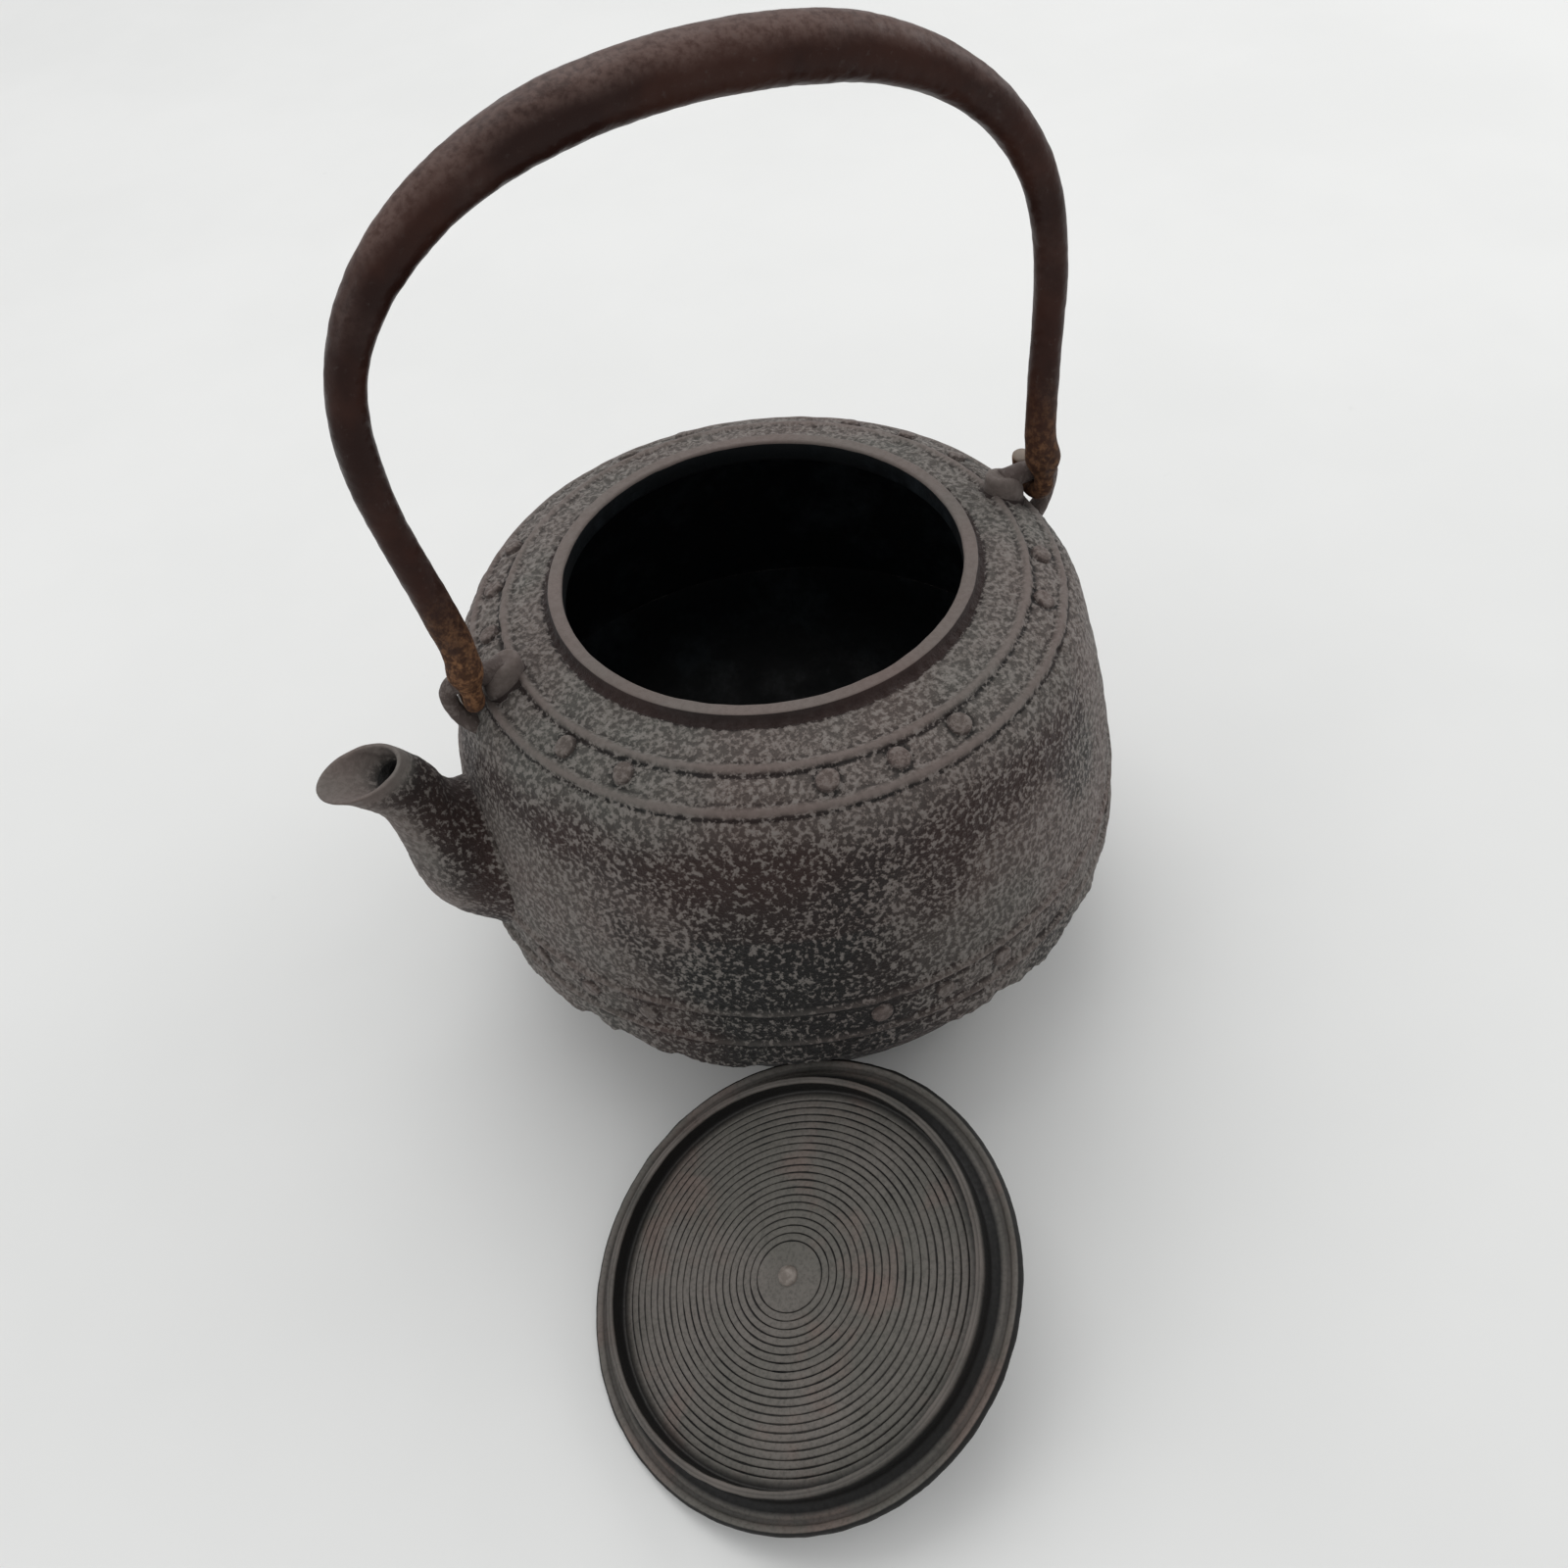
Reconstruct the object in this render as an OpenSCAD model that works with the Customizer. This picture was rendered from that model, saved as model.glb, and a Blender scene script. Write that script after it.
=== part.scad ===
// Cast iron kettle with a forged bail, stored with its lid off: the lid lies upside
// down on the table beside it, resting on its knob and on one edge.
// Origin: centre of the flat base. +Z up, spout towards -X, bail in the XZ plane.
// Millimetres.

/* [Body] */
// Height of the mouth's rim above the table
mouth_z = 120; // [105:1:145]
// Largest outer radius, at the skirt
body_r = 82.3; // [74:0.1:100]
// How much narrower the wall is at its top than at the skirt
wall_taper = 8.1; // [5:0.1:12]
// Height of the rim above the top of the wall
shoulder_drop = 19.3; // [16:0.1:24]
// Inner radius of the mouth
mouth_r = 46; // [38:0.5:50]
// Width of the flat rim round the mouth
rim_w = 3; // [2:0.5:5]
// Thickness of the cast wall
wall_t = 3.2; // [2.5:0.1:4]
// Height of the skirt's lowest tabs above the table
skirt_z = 36; // [28:0.5:42]
// Height of the shell's inner seat for the base pan
seat_top_z = 52; // [49:0.5:56]
// Radius of the flat base
base_r = 52; // [40:1:60]

/* [Relief] */
// Place of each shoulder bead between the rim (0) and the top of the wall (1)
shoulder_bead_at = [0.444, 0.766]; // [0.3:0.001:0.9]
// Height of each of the two wall beads
wall_bead_z = [47.3, 58.4]; // [46:0.1:64]
// Half thickness of a bead
bead_r = 0.8; // [0.5:0.1:1.2]
// Radius of a cast rivet boss
boss_r = 2.3; // [1.5:0.1:3]
// How far a boss stands out
boss_h = 0.7; // [0.4:0.1:1.2]
// Angle between two bosses of a shoulder group
boss_pitch = 14; // [10:1:18]
// Angle between two bosses of a wall group
low_boss_pitch = 11; // [8:1:18]
// Number of notches broken out of the skirt's edge
skirt_notches = 24; // [12:1:36]
// Radius of the smallest notch
notch_r = 2.2; // [1.5:0.1:3]
// How much larger the largest notch is
notch_spread = 2.6; // [0:0.1:3]

/* [Spout] */
// Wall of the spout
spout_wall = 3.2; // [2.5:0.1:4]
// Wall left at the spout's lip
lip_wall = 1.2; // [0.8:0.1:2]
// Radius of the port in the body's wall
port_r = 7; // [4:0.5:7.5]
// Depth of the port's centre below the rim
port_drop = 53; // [50:0.5:56]

/* [Ears and bail] */
// Distance of the hooks inside the body's largest radius
hook_inset = 10.5; // [9:0.1:13]
// Height of the bail's axis above the shoulder under the ear's lobe
pivot_rise = 4.82; // [4.5:0.01:7]
// Radius of the bar that a hook hangs on
bar_r = 2.6; // [2:0.1:3]
// Radius of the hook's wire
hook_wire_r = 2.3; // [1.8:0.1:2.6]
// Clearance between hook and bar
hook_gap = 0.3; // [0.2:0.05:0.5]
// Diameter of the grip at the top
grip_d = 13.8; // [10:0.2:18]
// Diameter of the legs
leg_d = 7.8; // [6:0.2:10]
// Height of the grip's centre line above the pivot
bail_h = 109.5; // [95:0.5:130]
// How far the arch swells out beyond the hooks on each side
bail_swell = 5.7; // [1:0.1:14]
// Height above the pivot at which the arch is widest
bail_waist_h = 56; // [45:1:65]
// How far the bail leans back from upright
bail_lean = 11; // [0:1:20]

/* [Lid] */
// How far the lid reaches beyond the rim
lid_overhang = 2.2; // [1:0.1:4]
// Clearance between the lid's flange and the mouth
flange_gap = 1.2; // [0.5:0.1:2]
// Thickness of the flange
flange_t = 1.8; // [1.2:0.1:2.5]
// Reach of the flange below the rim's edge
flange_h = 7.1; // [5:0.1:10]
// Thickness of the plate at the centre
plate_t = 4.2; // [3:0.1:6]
// Rounding of the lid's edge
lid_edge_r = 1.2; // [0.8:0.1:1.5]
// Number of turned grooves on the underside
grooves = 20; // [8:1:22]
// Distance between two grooves
groove_pitch = 1.72; // [1.4:0.01:1.8]
// Radius of the first groove
groove_r0 = 7.7; // [6:0.1:9]
// Depth of a groove
groove_h = 0.35; // [0.2:0.05:0.6]
// Direction from the kettle's axis to the lid
lid_dir = -115.37; // [-140:0.01:-60]
// Clearance in plan from the skirt to the lid's edge, where that is as high as the skirt
lid_space = 1.46; // [0.5:0.01:40]
// Direction of the lid's low edge
lid_az = -177; // [-180:1:180]

/* [Knob] */
// Radius of the knob's ball
knob_r = 8.5; // [7:0.1:10]
// Height of the ball's centre above the lid's edge plane
knob_h = 12.5; // [11:0.1:15]
// Thickness of the washer under the knob
washer_t = 1.2; // [0.8:0.1:2]
// Radius of the washer
washer_r = 8; // [6:0.1:9]
// Radius of the rivet's shank
shank_r = 1.5; // [1.2:0.1:2.5]
// Running clearance of the shank in the lid
shank_gap = 0.08; // [0.03:0.01:0.1]
// Radius of the peened head
peen_r = 1.9; // [1.7:0.1:3]

/* [Hidden] */
iron = "#5b5350";
pan_iron = "#4c4543";
lid_iron = "#3e403c";
$fn = 96;

// Body outline: the rim's collar and the shoulder's curve, then the wall
rim_r = mouth_r + rim_w;
collar = [[0.6, -0.8], [1.2, -2.2]];
wall_top_z = mouth_z - shoulder_drop;
wall_top_r = body_r - wall_taper;
wall_foot_z = 45;
wall_power = 1.85;
shoulder_curve = [[rim_r + 2.5, mouth_z - 2.8], [body_r - 16.3, mouth_z - 5.4],
                  [body_r - 10, mouth_z - 10.5], [wall_top_r, wall_top_z]];
line_steps = 12;
mouth_steps = 2;

// Pan: height of its upright lip, and the number of steps of its curve
pan_lip = 10;
pan_steps = 14;
pan_cut = 8;
pan_curve_line = [[-1, 26], [12, 6]];

// Relief
boss_group_count = 6;
boss_first = -149;
notch_shift = 4;
notch_sides = 24;

// Spout: upper and lower line of its side view, as [beyond the wall, below the rim]
spout_top = [[-3.8, -37.5], [5.7, -27], [-2.8, -30], [8.2, -16]];
spout_under = [[-1.8, -74], [28.7, -60], [2.7, -33], [28.2, -18.5]];
spout_half_w = [17, 13, 6.3, 8.1];
lip_from = 0.8;
spout_rings = 18;
spout_sides = 28;

// Ears and hooks
hook_x = body_r - hook_inset;
hook_turn_r = bar_r + hook_gap + hook_wire_r;
lobe_r = 4.6;
lobe_drop = 1.9;
lobe_reach = 0.5;
lobe_x = hook_x - hook_wire_r - lobe_r + lobe_reach;
bar_spare = 0.9;
bar_end_x = hook_x + hook_wire_r + bar_spare;
loop_r = 2;
loop_bend_r = 3;
loop_fall_r = 20;
loop_sweep = 44;
hook_top = 8;
hook_sweep = 205;
hook_flare = [[0, 1.2], [1.2, 2.6], [2, 4.2], [1.7, 6]];

// Arch: share of its length above the waist, and how square and how soft it is
bail_half_w = hook_x + bail_swell;
arch_share = 0.6;
arch_square = 2.2;
grip_power = 1.8;
leg_thin = 0.3;
arch_steps = 60;
arch_sides = 20;

// Lid, in its own frame: knob up, widest edge at height 0
lid_r = rim_r + lid_overhang;
flange_r = mouth_r - flange_gap;
inner_r = flange_r - flange_t;
flange_edge = 0.3;
lid_core_r = lid_r - lid_edge_r;
under_z0 = -5.25;
under_curve = 0.00163;
dish_curve = 0.0013;
top_z0 = under_z0 + plate_t;
seat_face_z = -lid_edge_r;
edge_groove = [1, 2, 2.4];
edge_groove_h = 0.6;
centre_spot_r = 4;
centre_spot_h = 0.4;

// Knob and rivet
neck_r = 4.2;
neck_h = 2.4;
flare_r = 5.6;
flare_h = 0.8;
peen_h = 1;
peen_taper = 0.7;
rivet_gap = 0.15;
knob_foot_z = top_z0 + washer_t;

// The lid tips until its edge and its knob both touch the table
lid_tilt = asin((knob_r - lid_edge_r) / norm([knob_h, lid_core_r])) + atan(knob_h / lid_core_r);
lid_z = lid_core_r * sin(lid_tilt) + lid_edge_r;

// Place of the lid's centre: as near as its edge may come, where it rises past the skirt's
// edge. edge_turn is how far round the lid that is from its high side, edge_plan its place
// from the lid's centre.
edge_turn = acos(min(1, (skirt_z - lid_edge_r - lid_z) / (lid_core_r * sin(lid_tilt))));
edge_high = [cos(lid_az + 180), sin(lid_az + 180)];
edge_side = [-edge_high[1], edge_high[0]];
edge_plan = lid_core_r * (cos(lid_tilt) * cos(edge_turn) * edge_high + sin(edge_turn) * edge_side);
lid_u = [cos(lid_dir), sin(lid_dir)];
edge_along = lid_u * edge_plan;
lid_far = sqrt(pow(body_r + lid_space, 2) - edge_plan * edge_plan + edge_along * edge_along) - edge_along;
lid_at = lid_far * lid_u;

// Point at t on the cubic curve with the four points p
function bez(p, t) = pow(1 - t, 3) * p[0] + 3 * pow(1 - t, 2) * t * p[1]
    + 3 * (1 - t) * t * t * p[2] + pow(t, 3) * p[3];

// Radius of the wall at height z
function wall_r(z) = body_r
    - wall_taper * pow(max(0, (z - wall_foot_z) / (wall_top_z - wall_foot_z)), wall_power);

// Outline of the shoulder and the wall, from the rim down to the seat's height
shoulder_line = [for (i = [0:line_steps]) bez(shoulder_curve, i / line_steps)];
outer_line = concat(shoulder_line,
    [for (i = [1:line_steps]) let (z = wall_top_z + (seat_top_z - wall_top_z) * i / line_steps)
        [wall_r(z), z]]);
seat_r = wall_r(seat_top_z) - wall_t;

// Point of the shoulder at radius r
function shoulder_point(r) = [r, lookup(r, shoulder_line)];

shoulder_bead_r = [for (k = shoulder_bead_at) rim_r + k * (wall_top_r - rim_r)];
pivot_z = shoulder_point(lobe_x)[1] + pivot_rise;

// Unit normal of line p at point i, to the inside of the vessel
function inward(p, i) = let (d = p[min(i + 1, len(p) - 1)] - p[max(i - 1, 0)]) [d[1], -d[0]] / norm(d);

// Line p moved in by the distance t
function inset(p, t) = [for (i = [0:len(p) - 1]) p[i] + t * inward(p, i)];

// The points of line p from a to b
function part_of(p, a, b) = [for (i = [a:b]) p[i]];

// Section between a stretch of the line p and the same stretch of its inner line q
function band(p, q, a, b) = concat(part_of(p, a, b), backwards(part_of(q, a, b)));

function backwards(p) = [for (i = [len(p) - 1:-1:0]) p[i]];

// Closed mesh through rings of points; wrap joins the last ring to the first
module skin(rings, wrap = false) {
    n = len(rings[0]);
    m = len(rings);
    sides = [for (i = [0:m - (wrap ? 1 : 2)]) for (j = [0:n - 1])
        let (a = i * n, b = ((i + 1) % m) * n, k = (j + 1) % n)
        each [[a + j, b + j, b + k], [a + j, b + k, a + k]]];
    caps = wrap ? [] : [[for (j = [0:n - 1]) j], [for (j = [n - 1:-1:0]) (m - 1) * n + j]];
    polyhedron([for (r = rings) each r], concat(sides, caps), convexity = 6);
}

// ---------------------------------------------------------------- body

// The casting is cut into rings along the normals of its outline
shell_inner = inset(outer_line, wall_t);
outer_last = len(outer_line) - 1;

// Hidden lower half of the casting, standing in the shell's seat
pan_outer = concat([[seat_r, seat_top_z]],
    [for (i = [0:pan_steps]) bez([[seat_r, seat_top_z - pan_lip], [seat_r, 0] + pan_curve_line[0],
        [base_r, 0] + pan_curve_line[1], [base_r, 0]], i / pan_steps)]);
pan_inner = [for (p = inset(pan_outer, wall_t)) [p[0], max(p[1], wall_t)]];
pan_last = len(pan_outer) - 1;

// A low round boss in the middle of the shoulder's band
module shoulder_boss() {
    inner = shoulder_point(shoulder_bead_r[0]);
    outer = shoulder_point(shoulder_bead_r[1]);
    at = shoulder_point((inner[0] + outer[0]) / 2);
    translate([at[0], 0, at[1]]) rotate([0, atan2(inner[1] - outer[1], outer[0] - inner[0]), 0])
        translate([0, 0, -wall_t / 2]) cylinder(r = boss_r, h = wall_t / 2 + boss_h);
}

// A low round boss in the middle of the wall's band
module wall_boss() {
    z = (wall_bead_z[0] + wall_bead_z[1]) / 2;
    translate([wall_r(z) - wall_t / 2, 0, z]) rotate([0, 90, 0])
        cylinder(r = boss_r, h = wall_t / 2 + boss_h);
}

// Its child once for each group of bosses; $odd tells every second group
module boss_groups() {
    for (k = [0:boss_group_count - 1]) rotate(boss_first + 360 * k / boss_group_count) {
        $odd = k % 2;
        children();
    }
}

// A round bead on the outline at point p
module bead(p) {
    translate([0, 0, p[1]]) rotate_extrude() translate([p[0], 0]) circle(r = bead_r, $fn = 16);
}

// Ragged lower edge: notches of uneven spacing and size
module skirt_cut() {
    for (i = [1:skirt_notches]) {
        size = 0.5 + 0.5 * sin(i * 137);
        turn = (i - 0.6) * 360 / skirt_notches + notch_shift * sin(i * 75);
        rotate(turn) translate([seat_r - 1, 0, skirt_z]) rotate([0, 90, 0])
            cylinder(r = notch_r + notch_spread * size, h = wall_t + 3, $fn = notch_sides);
    }
}

// Mouth with its flat rim and collar
module mouth_ring() {
    color(iron) rotate_extrude() polygon(concat(
        [[mouth_r, mouth_z], [rim_r, mouth_z]],
        [for (p = collar) [rim_r, mouth_z] + p],
        band(outer_line, shell_inner, 0, mouth_steps),
        [[mouth_r, outer_line[0][1] - wall_t]]));
}

// Shoulder with its beads, and groups of two and of three bosses in turn
module shoulder() {
    color(iron) {
        rotate_extrude() polygon(band(outer_line, shell_inner, mouth_steps, line_steps));
        for (r = shoulder_bead_r) bead(shoulder_point(r));
        boss_groups()
            for (j = [0:1 + $odd]) rotate((j - (1 + $odd) / 2) * boss_pitch) shoulder_boss();
    }
}

// Wall down to the skirt, with groups of three bosses and the spout's port
module wall() {
    color(iron) difference() {
        union() {
            rotate_extrude() polygon(concat(
                part_of(outer_line, line_steps, outer_last),
                [[body_r, wall_foot_z], [body_r, skirt_z], [seat_r, skirt_z], [seat_r, seat_top_z]],
                backwards(part_of(shell_inner, line_steps, outer_last - 1))));
            for (z = wall_bead_z) bead([wall_r(z), z]);
            boss_groups() for (j = [-1:1]) rotate(j * low_boss_pitch) wall_boss();
        }
        skirt_cut();
        translate([-body_r - 1, 0, mouth_z - port_drop]) rotate([0, 90, 0]) cylinder(r = port_r, h = 20);
    }
}

module pan_side() {
    color(pan_iron) rotate_extrude() polygon(band(pan_outer, pan_inner, 0, pan_cut));
}

module pan_curve() {
    color(pan_iron) rotate_extrude() polygon(band(pan_outer, pan_inner, pan_cut, pan_last));
}

module pan_base() {
    color(pan_iron) rotate_extrude()
        polygon([[0, 0], pan_outer[pan_last], pan_inner[pan_last], [0, wall_t]]);
}

// Ring of the spout at t, its wall set in by the distance t_in
function spout_ring(t, t_in) = let (
    a = bez(spout_top, t),
    b = bez(spout_under, t),
    mid = (a + b) / 2,
    half = (a - b) / 2 * (1 - t_in / norm((a - b) / 2)),
    w = bez(spout_half_w, t) - t_in)
    [for (j = [0:spout_sides - 1]) let (
        s = 360 * j / spout_sides,
        y = w * sin(s),
        p = mid + half * cos(s),
        z = mouth_z + p[1],
        root = -sqrt(pow(wall_r(z) - wall_t / 2, 2) - y * y),
        x = -body_r - p[0])
        [t == 0 ? root : min(x, root), y, z]];

// Wall of the spout at t: thin at the lip, full further down
function spout_t(t) = spout_wall + (lip_wall - spout_wall) * max(0, t - lip_from) / (1 - lip_from);

module spout() {
    outer = [for (i = [0:spout_rings]) spout_ring(i / spout_rings, 0)];
    inner = [for (i = [spout_rings:-1:0]) spout_ring(i / spout_rings, spout_t(i / spout_rings))];
    color(iron) skin(concat(outer, inner), wrap = true);
}

// A bar of radius r bent in the XZ plane with the radius turn_r
module bend(turn_r, r, from, to) {
    rotate([90, 0, 0]) rotate([0, 0, from]) rotate_extrude(angle = to - from)
        translate([turn_r, 0]) circle(r = r, $fn = 32);
}

// An ear on the +X side: lobe, straight bar and loop down to the wall
module ear() {
    color(iron) {
        translate([lobe_x, 0, pivot_z - lobe_drop]) sphere(r = lobe_r, $fn = 48);
        translate([lobe_x, 0, pivot_z]) rotate([0, 90, 0]) cylinder(r = bar_r, h = bar_end_x - lobe_x);
        translate([bar_end_x, 0, pivot_z - loop_bend_r]) bend(loop_bend_r, loop_r, 0, 90);
        translate([bar_end_x + loop_bend_r - loop_fall_r, 0, pivot_z - loop_bend_r])
            bend(loop_fall_r, loop_r - 0.1, -loop_sweep, 1);
    }
}

module front_ear() {
    mirror([1, 0, 0]) ear();
}

module rear_ear() {
    ear();
}

// ---------------------------------------------------------------- bail

// Bail frame: pivot at the origin, arch in a plane hook_turn_r in front of it
module lean() {
    translate([0, 0, pivot_z]) rotate([-bail_lean, 0, 0]) children();
}

// Centre line of the arch at s, from -1 to 1: legs below the waist, a full arch above
function leg_point(u) = let (h = hook_top + (bail_waist_h - hook_top) * u, v = 1 - h / bail_waist_h)
    [bail_half_w - (bail_swell + 1) * v * v * (3 - 2 * v), h];
function bow_point(a) = [bail_half_w * pow(sin(a), 2 / arch_square),
    bail_waist_h + (bail_h - bail_waist_h) * pow(cos(a), 2 / arch_square)];
function arch_point(s) = let (
    k = abs(s) / arch_share,
    p = k > 1 ? leg_point((1 - abs(s)) / (1 - arch_share)) : bow_point(90 * k))
    [sign(s) * p[0], p[1]];

// Radius of the arch at s
function arch_r(s) = let (k = abs(s) / arch_share)
    k > 1 ? leg_d / 2 - leg_thin * (abs(s) - arch_share) / (1 - arch_share)
    : (leg_d + (grip_d - leg_d) * pow(cos(90 * k), grip_power)) / 2;

module bail_arch() {
    rings = [for (i = [0:arch_steps]) let (
        s = -1 + 2 * i / arch_steps,
        c = arch_point(s),
        d = arch_point(min(1, s + 0.01)) - arch_point(max(-1, s - 0.01)),
        n = abs(s) == 1 ? [-s, 0] : [d[1], -d[0]] / norm(d),
        r = arch_r(s))
        [for (j = [0:arch_sides - 1]) let (a = 360 * j / arch_sides)
            [c[0] + n[0] * r * cos(a), -hook_turn_r + r * sin(a), c[1] + n[1] * r * cos(a)]]];
    color("#3d302c") lean() skin(rings);
}

// A hook on the +X side: flared end of the leg, then a wire round the bar
module hook() {
    end_r = arch_r(1);
    color("#4a3428") lean() {
        translate([hook_x, -hook_turn_r, 0]) rotate_extrude($fn = 48)
            polygon(concat([[0, 0], [hook_wire_r, 0]],
                [for (p = hook_flare) [hook_wire_r + p[0], p[1]]],
                [[end_r, hook_top], [0, hook_top]]));
        translate([hook_x, 0, 0]) rotate([0, 90, 0]) rotate([0, 0, -90])
            rotate_extrude(angle = hook_sweep) translate([hook_turn_r, 0]) circle(r = hook_wire_r, $fn = 32);
    }
}

module front_hook() {
    mirror([1, 0, 0]) hook();
}

module rear_hook() {
    hook();
}

// ---------------------------------------------------------------- lid

// Lays a piece of the lid on the table, knob down
module lay() {
    translate([lid_at[0], lid_at[1], lid_z]) rotate([0, 0, lid_az]) rotate([0, 180 + lid_tilt, 0]) children();
}

// Height of the plate's underside and of its dished top at radius r; the top is
// flat under the washer
function under_z(r) = under_z0 + under_curve * r * r;
function top_z(r) = top_z0 + dish_curve * pow(max(0, r - washer_r), 2);

// Ring under the plate that fits into the mouth
module lid_flange() {
    color(lid_iron) lay() rotate_extrude()
        polygon([[inner_r, under_z(inner_r)], [inner_r + flange_edge, -flange_h],
            [flange_r - flange_edge, -flange_h], [flange_r, seat_face_z]]);
}

module lid_plate() {
    under = [for (i = [0:grooves - 1]) let (r = groove_r0 + groove_pitch * i)
        each [[r - groove_h, under_z(r)], [r, under_z(r) + groove_h], [r + groove_h, under_z(r)]]];
    top = [for (i = [0:10]) let (r = washer_r + (lid_core_r - washer_r) * (1 - i / 10))
        [r, min(lid_edge_r, top_z(r))]];
    edge = [for (i = [0:6]) let (a = -90 + 30 * i) [lid_core_r + lid_edge_r * cos(a), lid_edge_r * sin(a)]];
    color(lid_iron) lay() difference() {
        rotate_extrude() polygon(concat(
            [[0, under_z0 - centre_spot_h], [centre_spot_r - 0.5, under_z0 - centre_spot_h],
             [centre_spot_r, under_z(centre_spot_r)]],
            under,
            [[inner_r, under_z(inner_r)], [flange_r, seat_face_z],
             [lid_core_r - edge_groove[2], seat_face_z],
             [lid_core_r - edge_groove[1], seat_face_z + edge_groove_h],
             [lid_core_r - edge_groove[0], seat_face_z + edge_groove_h]],
            edge, top, [[0, top_z0]]));
        translate([0, 0, -20]) cylinder(r = shank_r + shank_gap, h = 40);
    }
}

module knob_washer() {
    color("#4a443a") lay() translate([0, 0, top_z0]) difference() {
        cylinder(r = washer_r, h = washer_t);
        translate([0, 0, -1]) cylinder(r = shank_r + shank_gap, h = 10);
    }
}

module knob() {
    neck_top = knob_h - knob_foot_z;
    color("#3a3836") lay() difference() {
        union() {
            translate([0, 0, knob_h]) sphere(r = knob_r, $fn = 64);
            translate([0, 0, knob_foot_z + rivet_gap]) rotate_extrude($fn = 64)
                polygon([[0, 0], [flare_r, 0], [flare_r, flare_h], [neck_r, neck_h], [neck_r, neck_top - 2],
                    [0, neck_top]]);
        }
        translate([0, 0, -20]) cylinder(r = shank_r, h = 20 + knob_h);
    }
}

module knob_rivet() {
    low_z = under_z0 - centre_spot_h - rivet_gap;
    color("#5a544c") lay() {
        translate([0, 0, low_z]) cylinder(r = shank_r, h = knob_h - low_z, $fn = 48);
        translate([0, 0, low_z - peen_h])
            cylinder(r1 = peen_r - peen_taper, r2 = peen_r, h = peen_h, $fn = 48);
    }
}

mouth_ring();
shoulder();
wall();
pan_side();
pan_curve();
pan_base();
spout();
front_ear();
rear_ear();
bail_arch();
front_hook();
rear_hook();
lid_plate();
lid_flange();
knob_washer();
knob();
knob_rivet();
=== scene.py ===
import logging
import math
from dataclasses import dataclass, field
from enum import Enum
from typing import Optional, Union

import bpy
import numpy as np
from mathutils import Matrix, Vector


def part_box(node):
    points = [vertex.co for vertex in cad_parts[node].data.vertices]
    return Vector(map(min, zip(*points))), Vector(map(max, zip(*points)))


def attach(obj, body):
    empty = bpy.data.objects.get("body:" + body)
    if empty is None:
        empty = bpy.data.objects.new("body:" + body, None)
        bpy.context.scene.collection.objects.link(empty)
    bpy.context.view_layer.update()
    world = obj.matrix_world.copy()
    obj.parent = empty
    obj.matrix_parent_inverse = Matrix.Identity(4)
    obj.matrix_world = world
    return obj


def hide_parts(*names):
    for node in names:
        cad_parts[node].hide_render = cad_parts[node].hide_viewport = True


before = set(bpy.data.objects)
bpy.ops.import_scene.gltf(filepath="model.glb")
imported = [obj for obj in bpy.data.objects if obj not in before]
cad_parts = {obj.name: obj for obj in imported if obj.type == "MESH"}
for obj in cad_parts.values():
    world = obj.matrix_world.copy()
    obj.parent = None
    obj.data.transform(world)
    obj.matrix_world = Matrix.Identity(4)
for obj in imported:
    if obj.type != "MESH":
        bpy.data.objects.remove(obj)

LOG = logging.getLogger("kettle")
MM = 0.001
Array = np.ndarray
Colour = tuple[float, float, float]
Socket = bpy.types.NodeSocket
Value = Union[float, Socket]
Tint = Union[Socket, Colour]


class Side(Enum):
    """Which end of the bail's hinge a piece stands at."""

    FRONT = -1
    REAR = 1


class Axis(Enum):
    """The frame's axes."""

    X = 0
    Y = 1
    Z = 2


class Body(Enum):
    """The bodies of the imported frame."""

    KETTLE = "kettle"
    BAIL = "bail"
    LID = "lid"
    KNOB = "knob"


class Slot(Enum):
    """The record's material slots."""

    KETTLE = "kettle_iron"
    BAIL = "bail_iron"
    LID = "lid_iron"
    KNOB = "knob_iron"
    FITTING = "fitting_iron"


# ------------------------------------------------------------------ curves and fields


def turned(axis: Axis, angle: float) -> Array:
    """Matrix of a turn: the cosine on the two other axes, the sine and its negative across them.

    Args:
        axis: The axis that stays.
        angle: The angle in radians.

    Returns:
        A 3 by 3 matrix for columns.
    """
    i, j = (axis.value + 1) % 3, (axis.value + 2) % 3
    turn = np.eye(3)
    turn[i, i] = turn[j, j] = math.cos(angle)
    turn[i, j], turn[j, i] = -math.sin(angle), math.sin(angle)
    return turn


def bezier(points: list[tuple[float, float]], t: Array) -> Array:
    """Points of a cubic Bezier curve: the sum of its four points, each times its Bernstein weight.

    Args:
        points: The four control points.
        t: Parameters from 0 to 1.

    Returns:
        One row for each parameter.
    """
    p = np.asarray(points, float)
    weights = np.stack([(1 - t) ** 3, 3 * (1 - t) ** 2 * t, 3 * (1 - t) * t * t, t**3], -1)
    return weights @ p


def bernstein(values: tuple[float, float, float, float], t: Array) -> Array:
    """A number that follows a cubic Bezier curve with the four given values."""
    return bezier([(v, 0.0) for v in values], t)[:, 0]


def arc_length(line: Array) -> Array:
    """Distance along a line of points: the running sum of the steps' lengths."""
    return np.concatenate([[0.0], np.cumsum(np.linalg.norm(np.diff(line, axis=0), axis=1))])


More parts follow.
